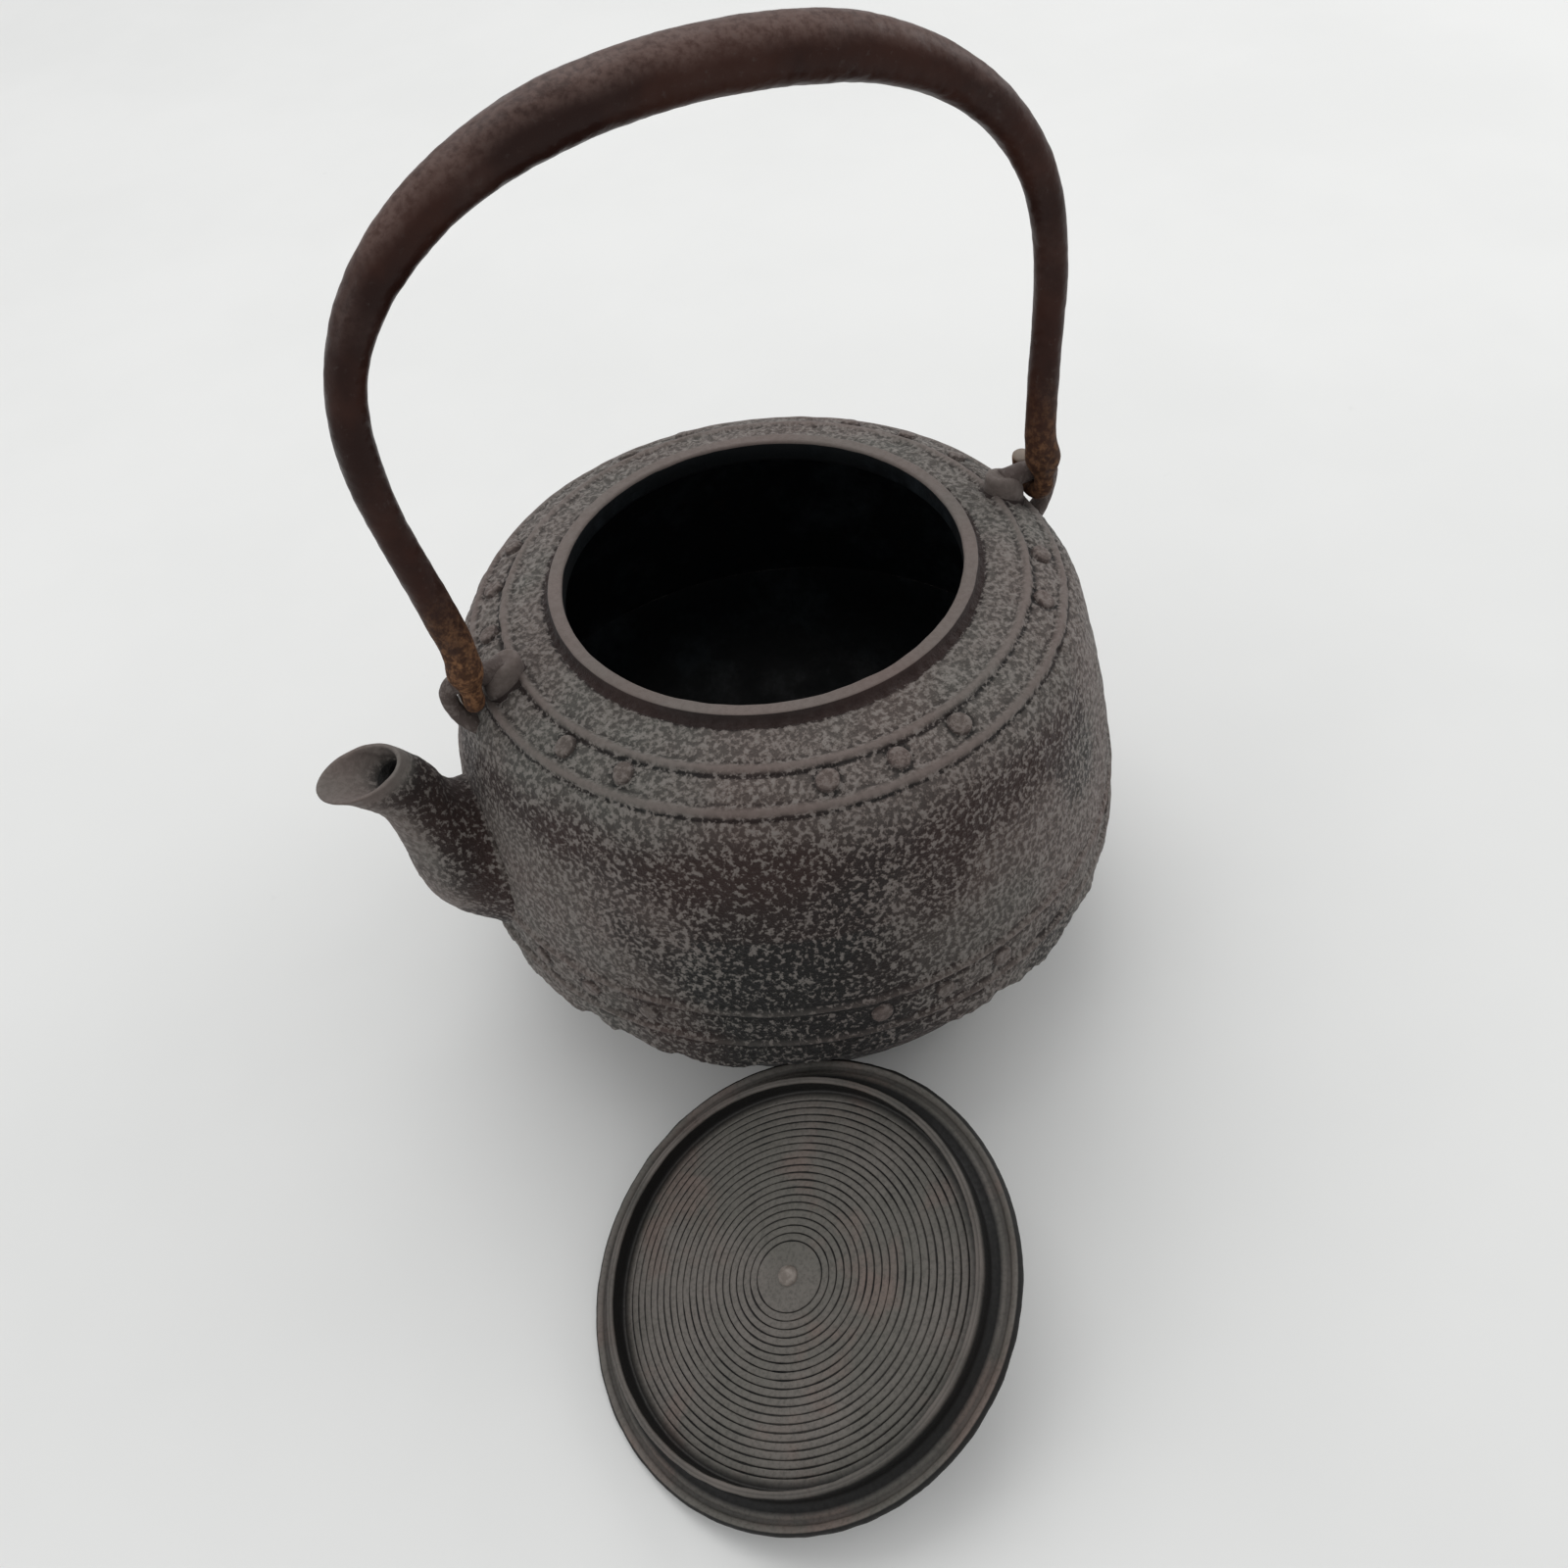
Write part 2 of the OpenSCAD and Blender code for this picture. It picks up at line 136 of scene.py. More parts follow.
def resample(line: Array, count: int, density: Optional[Array] = None) -> Array:
    """Points along a line, evenly spaced or closer together where the density is high.

    The running integral of the density is inverted at even steps.

    Args:
        line: The dense line.
        count: How many points to return.
        density: Points wanted per millimetre, one for each point of the line.

    Returns:
        The new points, with both ends kept.
    """
    s = arc_length(line)
    weight = np.ones(len(s)) if density is None else density
    total = np.concatenate([[0.0], np.cumsum(np.diff(s) * (weight[1:] + weight[:-1]) / 2)])
    at = np.interp(np.linspace(0, total[-1], count), total, s)
    return np.stack([np.interp(at, s, line[:, k]) for k in range(line.shape[1])], -1)


def soften(values: Array, reach: int) -> Array:
    """Running mean of an array along its first axis, with its ends repeated.

    Args:
        values: The array, flat or in rows.
        reach: How many neighbours each side are taken in.

    Returns:
        The softened array, as long as it was.
    """
    padded = np.concatenate([np.repeat(values[:1], reach, 0), values, np.repeat(values[-1:], reach, 0)])
    kernel = np.ones(2 * reach + 1) / (2 * reach + 1)
    if values.ndim == 1:
        return np.convolve(padded, kernel, "valid")
    return np.stack([np.convolve(padded[:, k], kernel, "valid") for k in range(values.shape[1])], -1)


def bump_at(x: Array, centre: float, width: float, power: float = 2.0) -> Array:
    """A bell of height 1: the exponential of minus the distance over the width, to a power."""
    return np.exp(-np.abs((x - centre) / width) ** power)


def step_up(x: Array, low: float, high: float) -> Array:
    """Smooth step from 0 at low to 1 at high: 3 times the square less twice the cube."""
    u = np.clip((x - low) / (high - low), 0, 1)
    return u * u * (3 - 2 * u)


def turn_gap(a: Array, b: float) -> Array:
    """Signed angle from b to a in degrees, between -180 and 180."""
    return (a - b + 180.0) % 360.0 - 180.0


def ripple(points: Array, length: float, seed: int, waves: int = 36) -> Array:
    """An even random field of about one wavelength, with a mean square of 1.

    It is the sum of plane waves of nearly the same length in random directions, over the
    root of half their number.

    Args:
        points: Places, one row each, in millimetres.
        length: The wavelength in millimetres.
        seed: Seed of the directions and phases.
        waves: Number of waves.

    Returns:
        One value for each place.
    """
    rng = np.random.default_rng(seed)
    way = rng.normal(size=(waves, 3))
    way /= np.linalg.norm(way, axis=1)[:, None]
    way *= 2 * np.pi / (length * rng.uniform(0.75, 1.35, (waves, 1)))
    phase = rng.uniform(0, 2 * np.pi, waves)
    total = np.zeros(len(points))
    for w, p in zip(way, phase):
        total += np.cos(points @ w + p)
    return total / math.sqrt(waves / 2)


def pebbles(points: Array, length: float, seed: int) -> Array:
    """Rounded grains with narrow creases between them, from -1 in a crease to 1 on a grain."""
    return np.tanh(1.3 * ripple(points, length, seed) + 0.5)


# ------------------------------------------------------------------ surfaces


@dataclass
class Surface:
    """A mesh in the making: points in millimetres, faces, and values carried by the points."""

    points: Array
    faces: list[Array]
    marks: dict[str, Array] = field(default_factory=dict)
    finish_of: Optional[Array] = None

    def volume(self) -> float:
        """Signed volume: a sixth of the sum of the triple products of each face's fan.

        Returns:
            The volume in cubic millimetres, negative where the faces point inwards.
        """
        total = 0.0
        for f in self.faces:
            p = self.points[f]
            for k in range(1, f.shape[1] - 1):
                total += float(np.einsum("ij,ij->", p[:, 0], np.cross(p[:, k], p[:, k + 1])))
        return total / 6

    def outward(self) -> "Surface":
        """The same surface with its faces turned outwards, where it encloses a negative volume.

        Returns:
            This surface.
        """
        if self.volume() < 0:
            self.faces = [f[:, ::-1] for f in self.faces]
        return self

    def normals(self) -> Array:
        """Unit normals at the points: the sum of the face normals round each point.

        Returns:
            One unit vector for each point.
        """
        total = np.zeros_like(self.points)
        for f in self.faces:
            p = self.points[f]
            n = np.cross(p[:, 2] - p[:, 0], p[:, -1] - p[:, 1])
            for k in range(f.shape[1]):
                np.add.at(total, f[:, k], n)
        return total / np.maximum(np.linalg.norm(total, axis=1), 1e-12)[:, None]

    def joined(self, other: "Surface") -> "Surface":
        """This surface and another as one, with their marks.

        Args:
            other: The surface to add.

        Returns:
            The joined surface; a mark that one of them lacks is 0 there.
        """
        faces = self.faces + [f + len(self.points) for f in other.faces]
        names = sorted(set(self.marks) | set(other.marks))
        marks = {
            n: np.concatenate([
                self.marks.get(n, np.zeros(len(self.points))),
                other.marks.get(n, np.zeros(len(other.points))),
            ])
            for n in names
        }
        return Surface(np.concatenate([self.points, other.points]), faces, marks)

    def build(self, name: str, finishes: list[bpy.types.Material]) -> bpy.types.Object:
        """Puts the surface into a mesh object, in metres, with smooth shading.

        Args:
            name: Name of the piece.
            finishes: Its materials; finish_of picks one for each face.

        Returns:
            The object, at the origin.
        """
        mesh = bpy.data.meshes.new(name)
        mesh.from_pydata((self.points * MM).tolist(), [], [q for f in self.faces for q in f.tolist()])
        for key, values in self.marks.items():
            mark = mesh.attributes.new(key, "FLOAT", "POINT")
            mark.data.foreach_set("value", np.asarray(values, np.float32))
        for finish in finishes:
            mesh.materials.append(finish)
        if self.finish_of is not None:
            mesh.polygons.foreach_set("material_index", self.finish_of.astype(np.int32))
        mesh.shade_smooth()
        mesh.update()
        obj = bpy.data.objects.new(name, mesh)
        bpy.context.scene.collection.objects.link(obj)
        return obj


def grid(rows: int, columns: int, closed_rows: bool) -> Array:
    """Quads of a grid whose columns close on themselves, and whose rows may.

    Args:
        rows: Rows of points.
        columns: Points in a row.
        closed_rows: Whether the last row joins the first.

    Returns:
        Four point numbers for each quad.
    """
    i = np.arange(rows if closed_rows else rows - 1)[:, None]
    j = np.arange(columns)[None, :]
    k, m = (i + 1) % rows, (j + 1) % columns
    corners = (i * columns + j, i * columns + m, k * columns + m, k * columns + j)
    return np.stack(np.broadcast_arrays(*corners), -1).reshape(-1, 4)


def rings_to_surface(
    rings: Array, start: Optional[Array] = None, end: Optional[Array] = None
) -> Surface:
    """A surface through rings of points, closed by a point at each end or ring to ring.

    Args:
        rings: Points as rows of rings, each ring closed.
        start: The point that closes the first ring, if any.
        end: The point that closes the last ring, if any.

    Returns:
        The closed surface, facing outwards. With neither point, the last ring joins the first.
    """
    rows, columns = rings.shape[:2]
    points = rings.reshape(-1, 3)
    j = np.arange(columns)
    m = (j + 1) % columns
    faces = [grid(rows, columns, start is None and end is None)]
    if start is not None:
        faces.append(np.stack([np.full(columns, len(points)), m, j], -1))
        points = np.concatenate([points, start[None]])
    if end is not None:
        last = (rows - 1) * columns
        faces.append(np.stack([np.full(columns, len(points)), last + j, last + m], -1))
        points = np.concatenate([points, end[None]])
    return Surface(points, faces).outward()


def revolve(profile: Array, columns: int) -> Array:
    """Rings of a turned shape: each profile point (radius, height) goes once round Z.

    Args:
        profile: Radius and height of each ring.
        columns: Points in a ring.

    Returns:
        Rows of rings of points.
    """
    a = 2 * np.pi * np.arange(columns) / columns
    r, z = profile[:, :1], profile[:, 1:2]
    return np.stack([r * np.cos(a), r * np.sin(a), z + 0 * a], -1)


def tube(path: Array, radii: Array, columns: int, aside: Array) -> Array:
    """Rings of a tube along a path.

    Each ring stands across the path. Its first direction is the part of a fixed vector
    that is square to the path, so no two rings are twisted against each other.

    Args:
        path: Points of the centre line.
        radii: Radius at each of them.
        columns: Points in a ring.
        aside: The fixed vector, never along the path.

    Returns:
        Rows of rings of points.
    """
    along = np.gradient(path, axis=0)
    along /= np.linalg.norm(along, axis=1)[:, None]
    u = aside[None] - (along @ aside)[:, None] * along
    u /= np.linalg.norm(u, axis=1)[:, None]
    v = np.cross(along, u)
    a = 2 * np.pi * np.arange(columns) / columns
    across = np.cos(a)[None, :, None] * u[:, None] + np.sin(a)[None, :, None] * v[:, None]
    return path[:, None] + radii[:, None, None] * across


def flat_index(rings: Array) -> tuple[Array, Array]:
    """Row and column of each point of the rings, as flat arrays."""
    rows, columns = rings.shape[:2]
    return np.repeat(np.arange(rows), columns), np.tile(np.arange(columns), rows)


# ------------------------------------------------------------------ materials


class Wiring:
    """One material's nodes. Each method adds a node and returns its output."""

    def __init__(self, name: str) -> None:
        """Makes the material with an empty principled shader.

        Args:
            name: Name of the material.
        """
        self.material = bpy.data.materials.new(name)
        self.material.use_nodes = True
        self.tree = self.material.node_tree
        self.tree.nodes.clear()
        self.shader = self.tree.nodes.new("ShaderNodeBsdfPrincipled")
        out = self.tree.nodes.new("ShaderNodeOutputMaterial")
        self.tree.links.new(self.shader.outputs["BSDF"], out.inputs["Surface"])
        self.place: Socket = self.tree.nodes.new("ShaderNodeTexCoord").outputs["Object"]

    def feed(self, socket: Socket, value: Union[Value, Colour, Array]) -> None:
        """Links a socket to another output, or sets it to a number or colour.

        Args:
            socket: The input.
            value: An output, a number or a colour.
        """
        if isinstance(value, bpy.types.NodeSocket):
            self.tree.links.new(value, socket)
        elif isinstance(value, tuple) and socket.type == "RGBA":
            socket.default_value = (*value, 1.0)
        else:
            socket.default_value = value

    def noise(self, per_metre: float, detail: float = 2.0, rough: float = 0.5) -> Socket:
        """Noise with the given number of cells in a metre, from 0 to 1.

        Args:
            per_metre: Cells in a metre.
            detail: How many finer layers are added.
            rough: Strength of each layer over the one before.

        Returns:
            The noise's value.
        """
        n = self.tree.nodes.new("ShaderNodeTexNoise")
        self.feed(n.inputs["Vector"], self.place)
        self.feed(n.inputs["Scale"], per_metre)
        self.feed(n.inputs["Detail"], detail)
        self.feed(n.inputs["Roughness"], rough)
        return n.outputs["Fac"]

    def cells(self, per_metre: float, smooth: float) -> Socket:
        """Distance to the nearest of scattered cell centres, rounded off by smooth.

        Args:
            per_metre: Cells in a metre.
            smooth: How far neighbouring cells run together.

        Returns:
            The distance.
        """
        n = self.tree.nodes.new("ShaderNodeTexVoronoi")
        n.feature = "SMOOTH_F1"
        self.feed(n.inputs["Vector"], self.place)
        self.feed(n.inputs["Scale"], per_metre)
        self.feed(n.inputs["Smoothness"], smooth)
        return n.outputs["Distance"]

    def mark(self, name: str) -> Socket:
        """A value that the mesh's points carry.

        Args:
            name: Name of the mark.

        Returns:
            Its value.
        """
        n = self.tree.nodes.new("ShaderNodeAttribute")
        n.attribute_name = name
        return n.outputs["Fac"]

    def maths(self, operation: str, a: Value, b: Value) -> Socket:
        """One sum of two values.

        Args:
            operation: The node's operation.
            a: First value.
            b: Second value.

        Returns:
            The result.
        """
        n = self.tree.nodes.new("ShaderNodeMath")
        n.operation = operation
        self.feed(n.inputs[0], a)
        self.feed(n.inputs[1], b)
        return n.outputs[0]

    def span(
        self, value: Socket, low: float, high: float, to_low: float = 0.0, to_high: float = 1.0
    ) -> Socket:
        """Smooth step of a value between two limits, onto another range.

        Args:
            value: The value.
            low: Where the step starts.
            high: Where the step ends.
            to_low: Result at and below low.
            to_high: Result at and above high.

        Returns:
            The result.
        """
        n = self.tree.nodes.new("ShaderNodeMapRange")
        n.interpolation_type = "SMOOTHSTEP"
        limits = {"From Min": low, "From Max": high, "To Min": to_low, "To Max": to_high}
        for key, number in limits.items():
            self.feed(n.inputs[key], number)
        self.feed(n.inputs["Value"], value)
        return n.outputs["Result"]

    def blend(self, share: Value, a: Tint, b: Tint) -> Socket:
        """Colour a, going to colour b as the share goes to 1.

        Args:
            share: Share of b, from 0 to 1.
            a: First colour.
            b: Second colour.

        Returns:
            The mixed colour.
        """
        n = self.tree.nodes.new("ShaderNodeMix")
        n.data_type = "RGBA"
        self.feed(n.inputs[0], share)
        self.feed(n.inputs[6], a)
        self.feed(n.inputs[7], b)
        return n.outputs[2]

    def grey(self, value: Socket) -> Socket:
        """A value as a grey colour.

        Args:
            value: The value.

        Returns:
            The colour.
        """
        n = self.tree.nodes.new("ShaderNodeCombineColor")
        for k in range(3):
            self.feed(n.inputs[k], value)
        return n.outputs[0]

    def relief(
        self, height: Socket, depth: float, strength: float = 1.0, under: Optional[Socket] = None
    ) -> Socket:
        """A bumped normal from a height between 0 and 1 that stands for a depth in metres.

        Args:
            height: The height.
            depth: How far a height of 1 stands out, in metres.
            strength: Share of the bump that is kept.
            under: A bumped normal to build on, if any.

        Returns:
            The normal.
        """
        n = self.tree.nodes.new("ShaderNodeBump")
        self.feed(n.inputs["Height"], height)
        self.feed(n.inputs["Distance"], depth)
        self.feed(n.inputs["Strength"], strength)
        if under is not None:
            self.feed(n.inputs["Normal"], under)
        return n.outputs["Normal"]

    def finish(
        self, colour: Tint, rough: Value, normal: Optional[Socket], **fixed: float
    ) -> bpy.types.Material:
        """Wires the shader's inputs and returns the material.

        Args:
            colour: Base colour.
            rough: Roughness.
            normal: Bumped normal, if any.
            fixed: Numbers for other inputs of the shader, by their names.

        Returns:
            The material.
        """
        self.feed(self.shader.inputs["Base Color"], colour)
        self.feed(self.shader.inputs["Roughness"], rough)
        if normal is not None:
            self.feed(self.shader.inputs["Normal"], normal)
        for key, number in fixed.items():
            self.feed(self.shader.inputs[key.replace("_", " ")], number)
        return self.material


@dataclass(frozen=True)
class CastSkin:
    """Sand-cast iron under a worn lacquer: pale grain tops over dark, partly red creases. Both follow the
    grain's height: the pale tops are partly wear and partly painted highlight, and the dark creases partly
    lacquer and partly painted shade.
    """

    warm: Colour = (0.138, 0.112, 0.100)
    cool: Colour = (0.126, 0.120, 0.106)
    black: Colour = (0.0060, 0.0056, 0.0054)
    red: Colour = (0.024, 0.0115, 0.0095)
    flush: Colour = (0.104, 0.066, 0.056)
    crest_wear_and_highlight: Colour = (0.235, 0.212, 0.196)
    soot_and_shade: Colour = (0.030, 0.027, 0.025)
    rubbed: Colour = (0.160, 0.126, 0.116)
    level: float = 0.437
    grain: float = 830.0
    depth: float = 0.00085

    def make(self, name: str = "cast_skin") -> bpy.types.Material:
        """Builds the material; the marks dark, red and smooth steer it.

        Args:
            name: Name of the material.

        Returns:
            The material.
        """
        w = Wiring(name)
        dark, red, smooth = w.mark("dark"), w.mark("red"), w.mark("smooth")
        coarse = w.noise(self.grain, 2.0, 0.55)
        fine = w.noise(self.grain * 3.1, 2.0, 0.6)
        cloud = w.noise(24.0, 3.0, 0.55)
        patch = w.noise(70.0, 3.0, 0.6)
        height = w.maths("ADD", w.maths("MULTIPLY", coarse, 0.78), w.maths("MULTIPLY", fine, 0.22))
        reach = w.maths("ADD", w.maths("MULTIPLY", dark, 0.115), w.maths("MULTIPLY", patch, 0.06))
        sunk = w.maths("SUBTRACT", w.maths("ADD", reach, self.level), height)
        # pit: the creases between the grains, found by the grain's height, take the dark colour. This is
        # partly the lacquer's own dark and partly painted shade of the relief.
        pit = w.maths("MULTIPLY", w.span(sunk, -0.060, 0.040), w.span(dark, 0.05, 0.50, 0.50, 1.0))
        pit = w.maths("MULTIPLY", pit, w.maths("SUBTRACT", 1.0, w.maths("MULTIPLY", smooth, 0.85)))
        pit = w.maths("MAXIMUM", pit, w.span(dark, 0.80, 0.98))
        top = w.blend(w.span(cloud, 0.36, 0.64), self.warm, self.cool)
        top = w.blend(w.maths("MULTIPLY", red, 0.60), top, self.flush)
        # crest: the grain tops, found by the grain's height, go pale. This is partly wear and partly a
        # painted highlight of the relief.
        crest_wear_and_highlight = w.span(height, 0.48, 0.64, 0.0, 0.60)
        rough_cast = w.maths("SUBTRACT", 1.0, smooth)
        top = w.blend(w.maths("MULTIPLY", crest_wear_and_highlight, rough_cast), top, self.crest_wear_and_highlight)
        # The dark mark darkens the top colour: soot and lacquer stains, and painted shade in the moats,
        # creases and hollows that the pieces mark.
        top = w.blend(w.maths("MULTIPLY", dark, 0.30), top, self.soot_and_shade)
        top = w.blend(w.maths("MULTIPLY", smooth, 0.35), top, self.rubbed)
        low = w.blend(red, self.black, self.red)
        colour = w.blend(w.maths("MULTIPLY", pit, 0.96), top, low)
        rough = w.span(height, 0.35, 0.7, 0.72, 0.50)
        hush = w.maths("SUBTRACT", 1.0, w.maths("MULTIPLY", smooth, 0.82))
        normal = w.relief(w.maths("MULTIPLY", height, hush), self.depth)
        normal = w.relief(w.noise(2600.0, 2.0, 0.6), 0.00006, 0.9, normal)
        return w.finish(
            colour, rough, normal, Specular_IOR_Level=0.20, Sheen_Weight=0.06, Sheen_Roughness=0.6
        )


@dataclass(frozen=True)
class BareInside:
    """The bare iron inside: nearly black, faintly blue, with wiped streaks of scale."""

    base: Colour = (0.0040, 0.0050, 0.0060)
    scale: Colour = (0.0260, 0.0320, 0.0370)
    rust: Colour = (0.022, 0.012, 0.008)

    def make(self, name: str = "bare_inside") -> bpy.types.Material:
        """Builds the material from blotches and fine grain.

        Args:
            name: Name of the material.

        Returns:
            The material.
        """
        w = Wiring(name)
        blot = w.noise(46.0, 6.0, 0.72)
        fine = w.noise(900.0, 2.0, 0.6)
        colour = w.blend(w.span(blot, 0.46, 0.74), self.base, self.scale)
        colour = w.blend(w.span(w.noise(130.0, 4.0, 0.7), 0.62, 0.74, 0.0, 0.6), colour, self.rust)
        normal = w.relief(fine, 0.00012, 0.8)
        return w.finish(colour, w.span(blot, 0.35, 0.65, 0.62, 0.42), normal, Specular_IOR_Level=0.3)


@dataclass(frozen=True)
class ForgedSkin:
    """Forged iron under a dark red-brown patina, greyer on its upper side where hands polish it and where a
    sheen is painted, rusty at its hooks.
    """

    brown: Colour = (0.035, 0.0125, 0.0082)
    deep: Colour = (0.0200, 0.0078, 0.0058)
    grey: Colour = (0.130, 0.084, 0.072)
    rust: Colour = (0.185, 0.092, 0.045)
    rust_deep: Colour = (0.060, 0.029, 0.016)
    fleck: Colour = (0.070, 0.055, 0.050)
    cut_end: Colour = (0.30, 0.26, 0.22)

    def make(self, name: str = "forged_skin") -> bpy.types.Material:
        """Builds the material; the marks worn, rust and bright steer it.

        Args:
            name: Name of the material.

        Returns:
            The material.
        """
        w = Wiring(name)
        worn, rust, bright = w.mark("worn"), w.mark("rust"), w.mark("bright")
        cloud = w.noise(38.0, 4.0, 0.6)
        speck = w.noise(620.0, 3.0, 0.62)
        grain = w.noise(1500.0, 2.0, 0.6)
        base = w.blend(w.span(cloud, 0.38, 0.62), self.deep, self.brown)
        # worn: polish from hands, and a painted sheen on the upper side of the bar.
        lift = w.maths("MULTIPLY", worn, w.span(speck, 0.28, 0.66, 0.35, 1.0))
        base = w.blend(w.maths("MULTIPLY", lift, 0.85), base, self.grey)
        base = w.blend(w.span(speck, 0.60, 0.76, 0.0, 0.35), base, self.fleck)
        orange = w.blend(w.span(speck, 0.40, 0.62), self.rust_deep, self.rust)
        rusty = w.maths("MULTIPLY", rust, w.span(grain, 0.30, 0.60, 0.45, 1.0))
        base = w.blend(rusty, base, orange)
        base = w.blend(bright, base, self.cut_end)
        rough = w.blend(rust, w.grey(w.span(cloud, 0.3, 0.7, 0.30, 0.44)), (0.85, 0.85, 0.85))
        hammered = w.noise(150.0, 2.0, 0.5)
        normal = w.relief(hammered, 0.00060, 0.8)
        normal = w.relief(speck, 0.00014, 0.9, normal)
        return w.finish(base, rough, normal, Specular_IOR_Level=0.14)


@dataclass(frozen=True)
class TurnedSkin:
    """Turned iron of the lid: grey-green black, brown and red in patches, black in its grooves, with
    painted shade in its coves, on its flange walls and on its edge.
    """

    grey: Colour = (0.140, 0.126, 0.113)
    brown: Colour = (0.157, 0.117, 0.101)
    green: Colour = (0.112, 0.105, 0.092)
    black: Colour = (0.0030, 0.0030, 0.0030)
    pit: Colour = (0.022, 0.022, 0.020)
    rubbed: Colour = (0.185, 0.162, 0.145)
    fleck: Colour = (0.17, 0.14, 0.11)
    painted_shade: Colour = (0.0055, 0.0053, 0.0051)

    def make(self, name: str = "turned_skin") -> bpy.types.Material:
        """Builds the material; the marks cut, worn and shade steer it, and shade, with part of cut, is
        painted shade.

        Args:
            name: Name of the material.

        Returns:
            The material.
        """
        w = Wiring(name)
        cut, worn, shade = w.mark("cut"), w.mark("worn"), w.mark("shade")
        cloud = w.noise(30.0, 3.0, 0.55)
        tint = w.noise(52.0, 3.0, 0.6)
        grain = w.noise(1150.0, 3.0, 0.65)
        speck = w.noise(330.0, 3.0, 0.7)
        base = w.blend(w.span(cloud, 0.40, 0.60), self.green, self.grey)
        base = w.blend(w.span(tint, 0.50, 0.68, 0.0, 0.8), base, self.brown)
        base = w.blend(w.span(grain, 0.25, 0.60, 0.40, 0.0), base, self.pit)
        base = w.blend(worn, base, self.rubbed)
        base = w.blend(w.span(speck, 0.66, 0.78, 0.0, 0.30), base, self.fleck)
        # Painted shade: the shade mark darkens the coves, the flange walls, the edge and the face turned to
        # the table.
        base = w.blend(w.maths("MULTIPLY", shade, 0.97), base, self.painted_shade)
        # The cut mark blackens the grooves and, as painted shade, the edge and the face turned to the
        # table.
        base = w.blend(cut, base, self.black)
        normal = w.relief(grain, 0.00007, 0.9)
        return w.finish(base, w.span(grain, 0.3, 0.7, 0.62, 0.46), normal, Specular_IOR_Level=0.26)


@dataclass(frozen=True)
class PeenedSkin:
    """A hammered rivet or washer: worn brown iron, blotched darker."""

    pale: Colour = (0.215, 0.186, 0.164)
    dark: Colour = (0.150, 0.126, 0.108)

    def make(self, name: str = "peened_skin") -> bpy.types.Material:
        """Builds the material from blotches and hammer dents.

        Args:
            name: Name of the material.

        Returns:
            The material.
        """
        w = Wiring(name)
        blot = w.noise(420.0, 3.0, 0.6)
        colour = w.blend(w.span(blot, 0.38, 0.58), self.dark, self.pale)
        normal = w.relief(w.cells(700.0, 0.8), 0.00012, 0.7)
        return w.finish(colour, w.span(blot, 0.3, 0.7, 0.60, 0.42), normal, Metallic=0.15)


@dataclass(frozen=True)
class TableTop:
    """The pale table: nearly white, with faint clouds and scuffs."""

    pale: Colour = (0.800, 0.802, 0.790)
    dim: Colour = (0.775, 0.778, 0.766)
    scuff: Colour = (0.62, 0.62, 0.60)

    def make(self, name: str = "table_top") -> bpy.types.Material:
        """Builds the material from slow clouds.

        Args:
            name: Name of the material.

        Returns:
            The material.
        """
        w = Wiring(name)
        colour = w.blend(w.span(w.noise(5.0, 4.0, 0.6), 0.35, 0.65), self.pale, self.dim)
        scuffs = w.span(w.noise(60.0, 3.0, 0.6), 0.72, 0.80, 0.0, 0.25)
        colour = w.blend(scuffs, colour, self.scuff)
        return w.finish(colour, 0.55, None, Specular_IOR_Level=0.25)


@dataclass(frozen=True)
class Finishes:
    """Every material of the scene."""

    cast: bpy.types.Material
    inside: bpy.types.Material
    forged: bpy.types.Material
    turned: bpy.types.Material
    peened: bpy.types.Material
    table: bpy.types.Material

    @classmethod
    def all(cls) -> "Finishes":
        """Makes them all.

        Returns:
            The finishes.
        """
        return cls(
            CastSkin().make(), BareInside().make(), ForgedSkin().make(),
            TurnedSkin().make(), PeenedSkin().make(), TableTop().make(),
        )


def place(obj: bpy.types.Object, body: Body, slot: Slot, *nodes: str) -> bpy.types.Object:
    """Makes a piece ride on a body, hides the CAD nodes that it stands for and logs its size.

    Args:
        obj: The piece.
        body: The body that it moves with.
        slot: The record's slot of its finish. Not used.
        nodes: CAD nodes that it replaces.

    Returns:
        The piece.
    """
    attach(obj, body.value)
    if nodes:
        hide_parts(*nodes)
    mesh = obj.data
    LOG.info("%s: %d points, %d faces, on %s", obj.name, len(mesh.vertices), len(mesh.polygons), body.value)
    return obj


# ------------------------------------------------------------------ kettle


